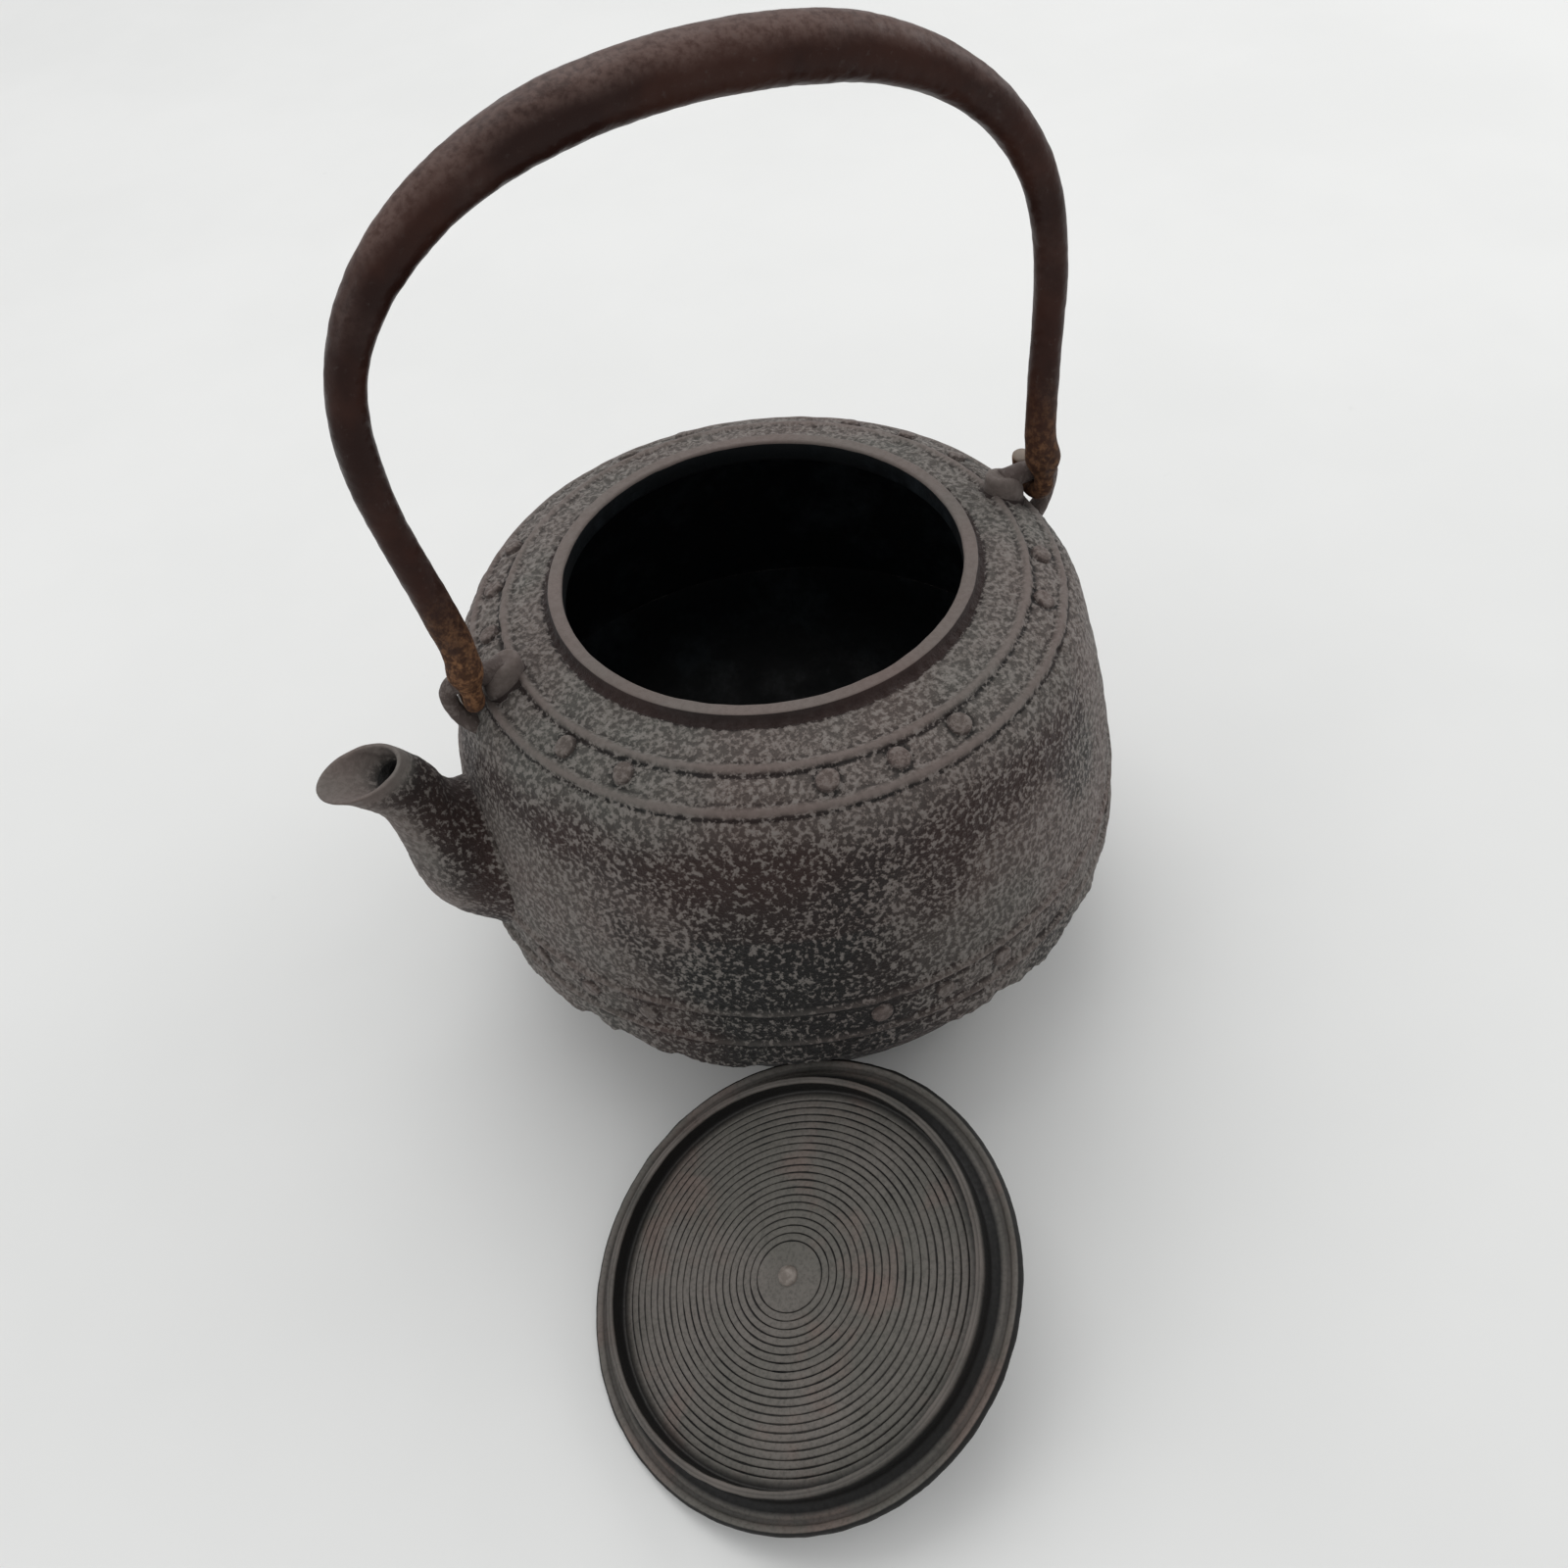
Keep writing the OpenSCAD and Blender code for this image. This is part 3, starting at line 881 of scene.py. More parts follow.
@dataclass
class Outline:
    """The kettle's outer line, shared by the wall, the bosses, the spout and the ears."""

    mouth_z: float
    body_r: float
    mouth_r: float = 46.0
    rim_w: float = 3.0
    wall: float = 3.2
    taper: float = 8.1
    drop: float = 19.3
    foot_z: float = 45.0
    power: float = 1.85
    bead_r: tuple[float, float] = (60.2, 68.3)
    bead_z: tuple[float, float] = (58.4, 47.3)
    crown_z: float = 100.0

    @classmethod
    def from_frame(cls) -> "Outline":
        """Takes the overall sizes from the frame's own boxes.

        Returns:
            The outline.
        """
        mouth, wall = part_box("mouth_ring"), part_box("wall")
        bead = 0.8
        return cls(mouth_z=mouth[1].z / MM, body_r=wall[1].x / MM - bead)

    def wall_r(self, z: Array) -> Array:
        """Radius of the wall at a height: the largest radius less a power of the rise.

        Args:
            z: Heights.

        Returns:
            The radius at each.
        """
        top = self.mouth_z - self.drop
        rise = np.clip((z - self.foot_z) / (top - self.foot_z), 0, None)
        return self.body_r - self.taper * rise**self.power

    def shoulder(self, t: Array) -> Array:
        """The shoulder's Bezier curve from the collar to the wall.

        Args:
            t: Parameters from 0 at the collar to 1 at the wall.

        Returns:
            Radius and height at each.
        """
        z, r = self.mouth_z, self.body_r
        rim = self.mouth_r + self.rim_w
        start, end = (rim + 2.5, z - 2.8), (r - self.taper, z - self.drop)
        return bezier([start, (r - 16.3, z - 5.4), (r - 10, z - 10.5), end], t)

    def line(self) -> Array:
        """Dense line of the shoulder and the wall down to the foot.

        Returns:
            Radius and height of each point.
        """
        top = self.mouth_z - self.drop
        z = np.linspace(top, self.foot_z, 400)[1:]
        return np.concatenate([self.shoulder(np.linspace(0, 1, 400)), np.stack([self.wall_r(z), z], -1)])

    def height(self, r: Array) -> Array:
        """Height of the shoulder at a radius.

        Args:
            r: Radii.

        Returns:
            The height at each.
        """
        line = self.shoulder(np.linspace(0, 1, 400))
        return np.interp(r, line[:, 0], line[:, 1])


@dataclass
class KettleWall:
    """The casting's shell: rim, shoulder, wall and ragged skirt, with a sandy skin."""

    outline: Outline
    columns: int = 720
    outer_rings: int = 118
    skirt_z: float = 38.4
    lowest_z: float = 36.1
    bead_h: float = 0.80
    edge_t: float = 1.3
    seat_z: float = 52.0
    front: float = -112.0
    tabs: tuple[tuple[float, float, float], ...] = (
        (-168, 3.0, 2.0), (-161, 2.2, 1.6), (-150, 3.0, -2.2), (-138, 4.0, 2.2), (-127, 5.5, 2.1),
        (-113, 3.0, 0.8), (-96, 4.5, -1.2), (-77, 3.0, -1.9), (-65, 3.6, 2.2), (-52, 2.4, -1.6),
        (-38, 4.0, 1.6), (-20, 2.5, -2.0), (2, 4.0, 1.8), (21, 2.5, -1.4), (46, 3.5, 2.0),
        (63, 2.2, -1.8), (84, 4.2, 1.4), (104, 2.4, -2.0), (127, 3.6, 2.2), (149, 2.4, -1.5),
    )

    def edge(self, a: Array) -> Array:
        """Height of the skirt's ragged edge at azimuth a: two ripples and a flat bell for each tab.

        Args:
            a: Azimuths in degrees.

        Returns:
            The height at each.
        """
        ring = np.stack([np.cos(np.radians(a)), np.sin(np.radians(a)), 0 * a], -1) * self.outline.body_r
        z = self.skirt_z + 0.55 * ripple(ring, 26.0, 3)
        z = z + 0.30 * ripple(ring, 7.0, 4) + 0.12 * ripple(ring, 3.0, 5)
        for centre, half, drop in self.tabs:
            z = z - drop * np.exp(-np.abs(turn_gap(a, centre) / half) ** 4)
        return np.maximum(z, self.lowest_z + 0.25 * (1 + ripple(ring, 5.0, 6).clip(-1, 1)))

    def outer_profile(self) -> tuple[Array, Array]:
        """Outer rings from the mouth's inner edge to the foot, and how smooth each is cast.

        Returns:
            The profile, and a value of 1 on the rim and the beads and 0 on the sandy skin.
        """
        o = self.outline
        z, r = o.mouth_z, o.mouth_r
        corner = np.radians(np.linspace(180, 90, 7))
        inner = np.stack([r + 0.75 + 0.75 * np.cos(corner), z - 0.75 + 0.75 * np.sin(corner)], -1)
        over = np.radians(np.linspace(90, 8, 7))
        outer = np.stack([r + 2.75 + 0.55 * np.cos(over), z - 0.60 + 0.55 * np.sin(over)], -1)
        collar = np.array([[r + 3.45, z - 1.4], [r + 3.75, z - 2.5], [r + 4.5, z - 3.0]])
        rim = np.concatenate([inner, outer, collar])
        line = o.line()
        line = line[line[:, 0] > r + 5.4]
        near = sum(bump_at(line[:, 0], c, 2.0) * (line[:, 1] > o.crown_z) for c in o.bead_r)
        near = near + sum(bump_at(line[:, 1], c, 2.0) for c in o.bead_z)
        body = resample(line, self.outer_rings - len(rim), 0.55 + 1.9 * np.minimum(near, 1.0))
        profile = np.concatenate([rim, body])
        on_rim = np.concatenate([np.ones(len(rim) - 3), [0.5, 0.2, 0.1], np.zeros(len(body))])
        return profile, on_rim

    def bead_relief(self, profile: Array) -> tuple[Array, Array]:
        """How far each ring stands out as a bead, with a moat on either side.

        Args:
            profile: Radius and height of each ring.

        Returns:
            The relief in millimetres, and how much painted shade each ring gets in the moat beside a bead,
            more so below.
        """
        s = arc_length(profile)
        relief, moat_shade = np.zeros(len(s)), np.zeros(len(s))
        upper = profile[:, 1] > self.outline.crown_z
        for k, centre in enumerate((*self.outline.bead_r, *self.outline.bead_z)):
            key = profile[:, 0] if k < 2 else profile[:, 1]
            pool = np.flatnonzero(upper if k < 2 else ~upper)
            at = s[pool[np.argmin(np.abs(key[pool] - centre))]]
            below, above = bump_at(s, at + 1.75, 0.55), bump_at(s, at - 1.75, 0.55)
            relief += self.bead_h * bump_at(s, at, 0.95, 2.6) - 0.28 * below - 0.16 * above
            # Painted shade in the moat on either side of each bead, more below it.
            moat_shade += 0.95 * bump_at(s, at + 1.55, 0.50) + 0.40 * bump_at(s, at - 1.55, 0.40)
        return relief, moat_shade

    def round_bosses(self, points: Array) -> Array:
        """A value of 1 in the crease round each boss, from the distance to its centre; it sinks the crease
        and carries painted shade there.

        Args:
            points: Places on the wall.

        Returns:
            The value at each.
        """
        azimuth, spot, _ = Bosses(self.outline).places()
        a = np.radians(azimuth)
        centre = np.stack([spot[:, 0] * np.cos(a), spot[:, 0] * np.sin(a), spot[:, 1]], -1)
        near = np.full(len(points), 99.0)
        for c in centre:
            near = np.minimum(near, np.linalg.norm(points - c, axis=1))
        return bump_at(near, 2.95, 0.55) + 0.6 * (near < 2.5)

    def skirt(self, a: Array) -> Array:
        """Rings of the skirt: the drop to its ragged edge shared out by rows, then a thin lip turned in.

        Args:
            a: Azimuths in degrees.

        Returns:
            Rows of rings of points.
        """
        o = self.outline
        edge = self.edge(a)
        drop = np.array([0.10, 0.22, 0.36, 0.50, 0.64, 0.78, 0.90, 0.97])
        ring = np.stack([np.cos(np.radians(a)), np.sin(np.radians(a))], -1)
        flare = 0.28 * ripple(np.concatenate([ring * o.body_r, 0 * ring[:, :1]], 1), 14.0, 9)
        skirt_z = o.foot_z + (edge - o.foot_z)[None] * drop[:, None]
        skirt_r = o.body_r + drop[:, None] ** 2 * flare[None].clip(-0.5, 0.5)
        tip = skirt_r[-1]
        r = np.concatenate([skirt_r, np.stack([tip - 0.25, tip - self.edge_t * 0.6, tip - self.edge_t])])
        z = np.concatenate([skirt_z, np.stack([edge, edge + 0.05, edge + 0.45])])
        return np.stack([r * ring[:, 0], r * ring[:, 1], z], -1)

    def inner_profile(self) -> Array:
        """Inner line from the pan's seat to the mouth: the outer line moved in by the wall.

        Returns:
            Radius and height of each ring.
        """
        o = self.outline
        seat_r = float(o.wall_r(np.array(self.seat_z))) - o.wall
        inner = o.line()
        flow = np.gradient(inner, axis=0)
        flow /= np.linalg.norm(flow, axis=1)[:, None]
        inner = inner + o.wall * np.stack([flow[:, 1], -flow[:, 0]], -1)
        inner = inner[(inner[:, 1] > self.seat_z + 1) & (inner[:, 0] > o.mouth_r + 3)][::-1]
        throat = [[o.mouth_r + 0.6, o.mouth_z - 6.0], [o.mouth_r, o.mouth_z - 5.2]]
        return np.concatenate([[[seat_r, self.seat_z - 8]], resample(inner, 8), throat])

    def stains(self, p: Array, az: Array) -> tuple[Array, Array, Array, Array]:
        """Where the wall is darkened: soot and lacquer stains, and bells towards the front and the foot.

        A black stripe runs down the front, a reddish veil lies under the shoulder's lower bead,
        and bells of angle and height darken the front, the foot and slow blotches at the back.

        Args:
            p: Places on the wall.
            az: Their azimuths in degrees.

        Returns:
            The stripe, the veil, a slow ripple, and how dark the wall is from all of them.
        """
        z, r = p[:, 2], np.hypot(p[:, 0], p[:, 1])
        slow = ripple(p, 34.0, 21)
        gap = np.abs(turn_gap(az, self.front))
        off_stripe = turn_gap(az, self.front - 0.5 - 0.06 * (z - 60))
        stripe = np.exp(-np.abs(off_stripe / (13.0 + 0.06 * (80 - z))) ** 2.4)
        stripe *= 1 - step_up(z, 78, 104)
        veil = bump_at(z, 98.5, 8.0) * (0.8 + 0.2 * slow.clip(-1, 1)) * (r > 70) * step_up(-gap, -82, -38)
        back = 0.25 * step_up(ripple(p, 45.0, 22), 0.4, 1.4) * (z < self.outline.crown_z)
        foot = 0.30 * bump_at(z, 44.0, 6.0) * np.exp(-(gap / 26.0) ** 2)
        front = np.exp(-(gap / 34.0) ** 2) * (1 - step_up(z, 90, 104))
        dark = (0.05 + 0.62 * stripe + 0.55 * veil + 0.24 * front + back + foot).clip(0, 0.72)
        return stripe, veil, slow, dark

    def build(self, finishes: Finishes) -> bpy.types.Object:
        """Builds the shell as one closed surface with its marks.

        Args:
            finishes: Every material.

        Returns:
            The piece.
        """
        o = self.outline
        profile, on_rim = self.outer_profile()
        relief, moat_shade = self.bead_relief(profile)
        across = np.gradient(profile, axis=0)
        across /= np.linalg.norm(across, axis=1)[:, None]
        out = np.stack([-across[:, 1], across[:, 0]], -1)
        profile = profile + relief[:, None] * out * np.where(out[:, :1] + out[:, 1:] > 0, 1, -1)

        a = np.degrees(2 * np.pi * np.arange(self.columns) / self.columns)
        a = np.where(a > 180, a - 360, a)
        skirt = self.skirt(a)
        inside = revolve(self.inner_profile(), self.columns)
        rings = np.concatenate([revolve(profile, self.columns), skirt, inside])
        surface = rings_to_surface(rings)

        row, column = flat_index(rings)
        p = surface.points
        rows_out, rows_skirt = len(profile), len(skirt)
        outer = row < rows_out + rows_skirt
        pad = np.zeros(len(rings) - rows_out)
        moat_shade = np.concatenate([moat_shade, pad])[row]
        beads = (relief / self.bead_h).clip(0, 1)
        smooth = np.concatenate([np.maximum(on_rim, beads), pad])[row] * outer
        z, r = p[:, 2], np.hypot(p[:, 0], p[:, 1])

        coarse = step_up(z, 98, 108)
        height = 0.13 * pebbles(p, 2.4, 11) * (1 - coarse) + 0.23 * pebbles(p, 3.0, 12) * coarse
        height = height + 0.10 * ripple(p, 9.0, 13) + 0.10 * ripple(p, 30.0, 14) * step_up(r, 55, 62)
        skin = (1 - smooth) * outer * (row < rows_out + 8)
        height = height * skin + 0.04 * ripple(p, 6.0, 15) * smooth
        ring_of_boss = self.round_bosses(p) * outer
        height = height * (1 - 0.8 * ring_of_boss) - 0.16 * ring_of_boss
        surface.points = p + surface.normals() * height[:, None]

        stripe, veil, slow, dark = self.stains(p, a[column])
        high = z > o.crown_z
        # Painted shade: the valley round the mouth, between the rim and the shoulder, is darkened.
        valley_shade = bump_at(r, o.mouth_r + 4.25, 0.95, 6.0) * (row < rows_out)
        collar = (on_rim > 0) & (profile[:, 0] > o.mouth_r + 3.15)
        # Painted shade in the moats beside the beads goes into the dark mark.
        dark = dark * (1 - 0.6 * smooth * high) + 0.85 * moat_shade * (0.8 + 0.2 * slow.clip(-1, 1))
        # Painted shade on the collar that runs down into that valley, and in the crease round each boss.
        dark = dark + 0.95 * np.concatenate([collar.astype(float), pad])[row] + 0.30 * ring_of_boss
        dark = dark + 0.88 * valley_shade
        red = 0.40 - 0.36 * coarse + 0.85 * veil + 0.35 * moat_shade + 0.30 * smooth + 0.8 * valley_shade
        surface.marks = {
            # Past the skirt's outer face the dark mark is 0.9: painted shade on the turned-in lip under the
            # skirt's edge. The inside has its own material.
            "dark": np.where(outer & (row < rows_out + 8), dark, 0.9).clip(0, 1),
            "red": (red + 0.20 * slow - 0.9 * stripe * (z < 80)).clip(0, 1),
            "smooth": (smooth * np.where(high, 1.0, 0.45)).clip(0, 1),
        }
        face_row = np.repeat(np.arange(len(rings)), self.columns)
        surface.finish_of = face_row >= rows_out + rows_skirt - 1
        obj = surface.build("kettle_shell", [finishes.cast, finishes.inside])
        return place(obj, Body.KETTLE, Slot.KETTLE, "mouth_ring", "shoulder", "wall")


@dataclass
class KettlePan:
    """The lower half of the casting, mostly hidden under the skirt."""

    outline: Outline
    base_r: float = 52.0
    floor_t: float = 3.2
    seat_z: float = 52.0
    seat_gap: float = 0.06
    middle_r: float = 6.0
    columns: int = 240

    def build(self, finishes: Finishes) -> bpy.types.Object:
        """Builds the pan as one closed surface: inner line, floor, foot and outer line.

        Args:
            finishes: Every material.

        Returns:
            The piece.
        """
        o, top, base = self.outline, self.seat_z, self.base_r
        seat_r = float(o.wall_r(np.array(top))) - o.wall - self.seat_gap
        side = [(seat_r, top - 10), (seat_r - 1, 26), (base + 12, 6), (base + 0.8, 0.5)]
        outer = np.concatenate([
            [[seat_r, top - 0.15], [seat_r, top - 0.8], [seat_r, top - 5]],
            bezier(side, np.linspace(0, 1, 30)),
            [[base, 0.0], [base - 14, 0.0], [base - 30, 0.0], [self.middle_r, 0.0]],
        ])
        floor = self.floor_t
        bowl = [(self.middle_r, floor), (base + 6, floor - 1), (seat_r - 4.4, 26), (seat_r - 1.4, top - 8)]
        inner = np.concatenate([
            bezier(bowl, np.linspace(0, 1, 40)),
            [[seat_r - 0.55, top - 2.5], [seat_r - 0.12, top - 0.6], [seat_r - 0.03, top - 0.2]],
        ])
        rings = revolve(np.concatenate([inner, outer]), self.columns)
        surface = rings_to_surface(rings, np.array([0, 0, self.floor_t]), np.array([0, 0, 0.0]))
        p = surface.points
        lively = step_up(p[:, 2], 0.2, 4.0)
        grain = 0.10 * pebbles(p, 3.2, 31) * lively * step_up(60 - p[:, 2], 10, 14)
        surface.points = p + surface.normals() * grain[:, None]
        between = np.repeat(np.arange(len(rings) - 1), self.columns)
        first, last = np.zeros(self.columns, int), np.full(self.columns, len(rings))
        surface.finish_of = np.concatenate([between, first, last]) < len(inner) - 1
        surface.marks = {
            "dark": (0.55 + 0.25 * ripple(p, 30.0, 32)).clip(0.1, 0.88),
            "red": (0.5 + 0.4 * ripple(p, 24.0, 33)).clip(0, 1),
            "smooth": np.zeros(len(p)),
        }
        obj = surface.build("kettle_pan", [finishes.cast, finishes.inside])
        return place(obj, Body.KETTLE, Slot.KETTLE, "pan_side", "pan_curve", "pan_base")


@dataclass
class Bosses:
    """The cast rivet heads between the beads, on the shoulder and on the wall."""

    outline: Outline
    radius: float = 2.55
    shoulder_h: float = 1.0
    wall_h: float = 0.72
    groups: int = 6
    first: float = -149.0
    pitch: float = 14.0
    wall_pitch: float = 11.0

    def places(self) -> tuple[Array, Array, Array]:
        """Where the bosses stand.

        Returns:
            Azimuths in degrees, places (radius, height) and outward directions in the profile.
        """
        o = self.outline
        group = np.arange(self.groups)
        two = np.array([-0.5, 0.5]) * self.pitch
        three = np.array([-1.0, 0.0, 1.0])
        upper = np.concatenate([
            (self.first + 60 * group[::2, None] + two).ravel(),
            (self.first + 60 * group[1::2, None] + three * self.pitch).ravel(),
        ])
        lower = (self.first + 60 * group[:, None] + three * self.wall_pitch).ravel()
        mid_r, mid_z = sum(o.bead_r) / 2, sum(o.bead_z) / 2
        near, far = (o.height(np.array(r)) for r in o.bead_r)
        slope = float(far - near) / (o.bead_r[1] - o.bead_r[0])
        lean = math.hypot(1, slope)
        high = (mid_r, float(o.height(np.array(mid_r))), -slope / lean, 1 / lean)
        wide = (float(o.wall_r(np.array(mid_z))), mid_z, 1.0, 0.0)
        rows = np.array([high] * len(upper) + [wide] * len(lower))
        return np.concatenate([upper, lower]), rows[:, :2], rows[:, 2:]

    def build(self, finishes: Finishes) -> bpy.types.Object:
        """Builds all bosses at once: one dome's rings carried to every place.

        Args:
            finishes: Every material.

        Returns:
            The piece.
        """
        azimuth, spot, out = self.places()
        u = np.array([0.0, 0.3, 0.55, 0.74, 0.86, 0.94, 0.985, 1.02, 1.10])
        rise = np.array([1.0, 0.99, 0.95, 0.86, 0.72, 0.50, 0.22, -0.1, -0.9])
        sides = 28
        a = 2 * np.pi * np.arange(sides) / sides
        tall = np.where(spot[:, 1] > self.outline.crown_z, self.shoulder_h, self.wall_h)
        seeds = np.random.default_rng(5)
        wobble = 1 + 0.05 * np.sin(2 * a[None] + seeds.uniform(0, 6, (len(azimuth), 1)))
        size = self.radius * seeds.uniform(0.93, 1.04, len(azimuth))
        x = size[:, None, None] * u[1:, None] * (np.cos(a) * wobble)[:, None]
        y = size[:, None, None] * u[1:, None] * (np.sin(a) * wobble)[:, None]
        h = tall[:, None, None] * rise[1:, None] + 0 * x
        c, s = np.cos(np.radians(azimuth)), np.sin(np.radians(azimuth))
        centre = np.stack([spot[:, 0] * c, spot[:, 0] * s, spot[:, 1]], -1)
        normal = np.stack([out[:, 0] * c, out[:, 0] * s, out[:, 1]], -1)
        side = np.stack([-s, c, 0 * s], -1)
        down = np.cross(side, normal)
        points = (
            centre[:, None, None]
            + x[..., None] * side[:, None, None]
            + y[..., None] * down[:, None, None]
            + h[..., None] * normal[:, None, None]
        )
        surface: Optional[Surface] = None
        for k in range(len(azimuth)):
            dome = rings_to_surface(points[k], centre[k] + normal[k] * tall[k], centre[k] - normal[k] * 1.2)
            dome.marks = {
                "smooth": np.full(len(dome.points), 0.45),
                # dark: painted shade on each dome's lower flanks and at its foot.
                "dark": np.append(np.repeat(0.10 + 0.40 * (rise[1:] < 0.6), sides), [0.10, 0.5]),
                "red": np.full(len(dome.points), 0.60),
            }
            surface = dome if surface is None else surface.joined(dome)
        uneven = 0.05 * ripple(surface.points, 2.4, 41)
        surface.points = surface.points + uneven[:, None] * surface.normals()
        return place(surface.build("kettle_bosses", [finishes.cast]), Body.KETTLE, Slot.KETTLE)


@dataclass
class Spout:
    """The cast spout, with a broad lip whose throat lies to its kettle side."""

    outline: Outline
    top: tuple[tuple[float, float], ...] = ((-3.8, -37.5), (5.7, -27.0), (-2.8, -30.0), (8.2, -16.0))
    under: tuple[tuple[float, float], ...] = ((-1.8, -74.0), (28.7, -60.0), (2.7, -33.0), (28.2, -18.5))
    half_w: tuple[float, float, float, float] = (17.0, 13.0, 6.3, 8.1)
    sides: int = 112
    fillet: float = 1.7

    def ring(self, t: Array, near: Array, far: Array, aside: Array) -> Array:
        """Rings between the two side lines, drawn in by three wall thicknesses.

        A ring is an ellipse from the upper line to the under line. Its walls on the kettle
        side, the far side and both flanks are taken off its axes.

        Args:
            t: Parameters along the spout.
            near: Wall on the kettle side, at each parameter.
            far: Wall on the far side.
            aside: Wall on the flanks.

        Returns:
            Rows of rings of points.
        """
        o = self.outline
        a, b = bezier(list(self.top), t), bezier(list(self.under), t)
        long = np.linalg.norm(a - b, axis=1)[:, None]
        way = (a - b) / long
        a, b = a - way * near[:, None], b + way * far[:, None]
        w = bernstein(self.half_w, t) - aside
        s = 2 * np.pi * np.arange(self.sides) / self.sides
        plane = (a + b)[:, None] / 2 + (a - b)[:, None] / 2 * np.cos(s)[None, :, None]
        y = w[:, None] * np.sin(s)[None]
        z = o.mouth_z + plane[..., 1]
        root = np.sqrt(np.maximum((o.wall_r(z) - o.wall / 2) ** 2 - y * y, 1.0))
        out = np.maximum(o.body_r + plane[..., 0], root)
        out = np.where((t == 0)[:, None], root, out)
        return np.stack([-out, y, z], -1)

    def build(self, finishes: Finishes) -> bpy.types.Object:
        """Builds the spout as one closed surface from the root, over the lip and down the throat.

        Args:
            finishes: Every material.

        Returns:
            The piece.
        """
        o = self.outline
        root_t, lip_t = np.linspace(0, 0.12, 14)[:-1], [0.985, 0.995, 1.0]
        t_out = np.concatenate([root_t, np.linspace(0.12, 0.97, 60), lip_t])
        nil = 0 * t_out
        outer = self.ring(t_out, nil, nil, nil)
        mid = outer.mean(1, keepdims=True)
        ray = outer - mid
        size = np.linalg.norm(ray, axis=2, keepdims=True)
        off = np.hypot(outer[..., 0], outer[..., 1]) - o.wall_r(outer[..., 2])
        grow = self.fillet * np.exp(-np.clip(off, 0, None) / 2.1)
        outer = outer + ray / size * grow[..., None]
        thin = np.array([0.25, 0.7])
        lip = self.ring(np.array([1.0, 1.0]), thin, thin, thin)
        lip[..., 2] += np.array([0.22, 0.20])[:, None]
        t_in = np.concatenate([[1.0, 0.985], np.linspace(0.97, 0.60, 26), np.linspace(0.55, 0.0, 16)])
        near = np.interp(t_in, [0, 0.6, 0.85, 0.95, 1.0], [3.2, 3.2, 2.5, 1.7, 1.15])
        far = np.interp(t_in, [0, 0.45, 0.70, 0.84, 0.90, 0.95, 1.0], [3.2, 3.2, 4.6, 7.6, 5.6, 3.0, 1.15])
        flank = np.interp(t_in, [0, 0.5, 0.75, 0.87, 0.95, 1.0], [3.2, 3.2, 3.8, 3.5, 2.0, 1.15])
        inner = self.ring(t_in, near, far, flank)
        rings = np.concatenate([outer, lip, inner])
        surface = rings_to_surface(rings)
        row, column = flat_index(rings)
        p = surface.points
        n_out = len(t_out)
        t = np.concatenate([t_out, [1.0, 1.0], t_in])[row]
        round_at = np.degrees(2 * np.pi * column / self.sides)
        outside = row < n_out
        inside = row >= n_out + 2
        at_lip = outside * step_up(t, 0.93, 0.99) + (~outside) * step_up(t, 0.86, 0.93)
        nick = np.exp(-(turn_gap(round_at, 62) / 13) ** 2) * np.exp(-((t - 0.955) / 0.022) ** 2) * inside
        skin = outside * (1 - step_up(t, 0.88, 0.97))
        height = (
            0.055 * pebbles(p, 2.4, 51) * skin
            + 0.10 * ripple(p, 10.0, 52) * outside * (1 - step_up(t, 0.94, 1))
            + 0.035 * ripple(p, 4.0, 53)
        )
        height = height + 0.9 * nick * (0.6 + 0.4 * ripple(p, 1.3, 54))
        seam_side = step_up(np.cos(np.radians(round_at - 215)), 0.2, 0.7)
        height = height + 0.10 * bump_at(t, 0.395, 0.008) * outside * seam_side
        surface.points = p + surface.normals() * height[:, None]
        face_side = np.cos(np.radians(turn_gap(round_at, 326)))
        band = step_up(face_side, 0.10, 0.85) * step_up(t, 0.0, 0.03) * (1 - step_up(t, 0.86, 0.97))
        root = bump_at(t, 0.10, 0.13) * step_up(np.cos(np.radians(round_at - 200)), -0.3, 0.6) * 0.35
        dark = np.where(outside, 0.12 + 0.60 * band + root + 0.10 * ripple(p, 16.0, 55), 0.0)
        throat = inside * (1 - step_up(t, 0.880, 0.915))
        dark = np.where(inside, 0.05 + 0.95 * throat + 0.25 * bump_at(t, 0.92, 0.03), dark)
        surface.marks = {
            "dark": dark.clip(0, 1),
            "red": (0.35 + 0.55 * band + 0.2 * ripple(p, 20.0, 56)).clip(0, 1),
            "smooth": (at_lip * 0.9 + 0.40 * outside * (1 - band) * step_up(t, 0.05, 0.2)).clip(0, 1),
        }
        return place(surface.build("kettle_spout", [finishes.cast]), Body.KETTLE, Slot.KETTLE, "spout")


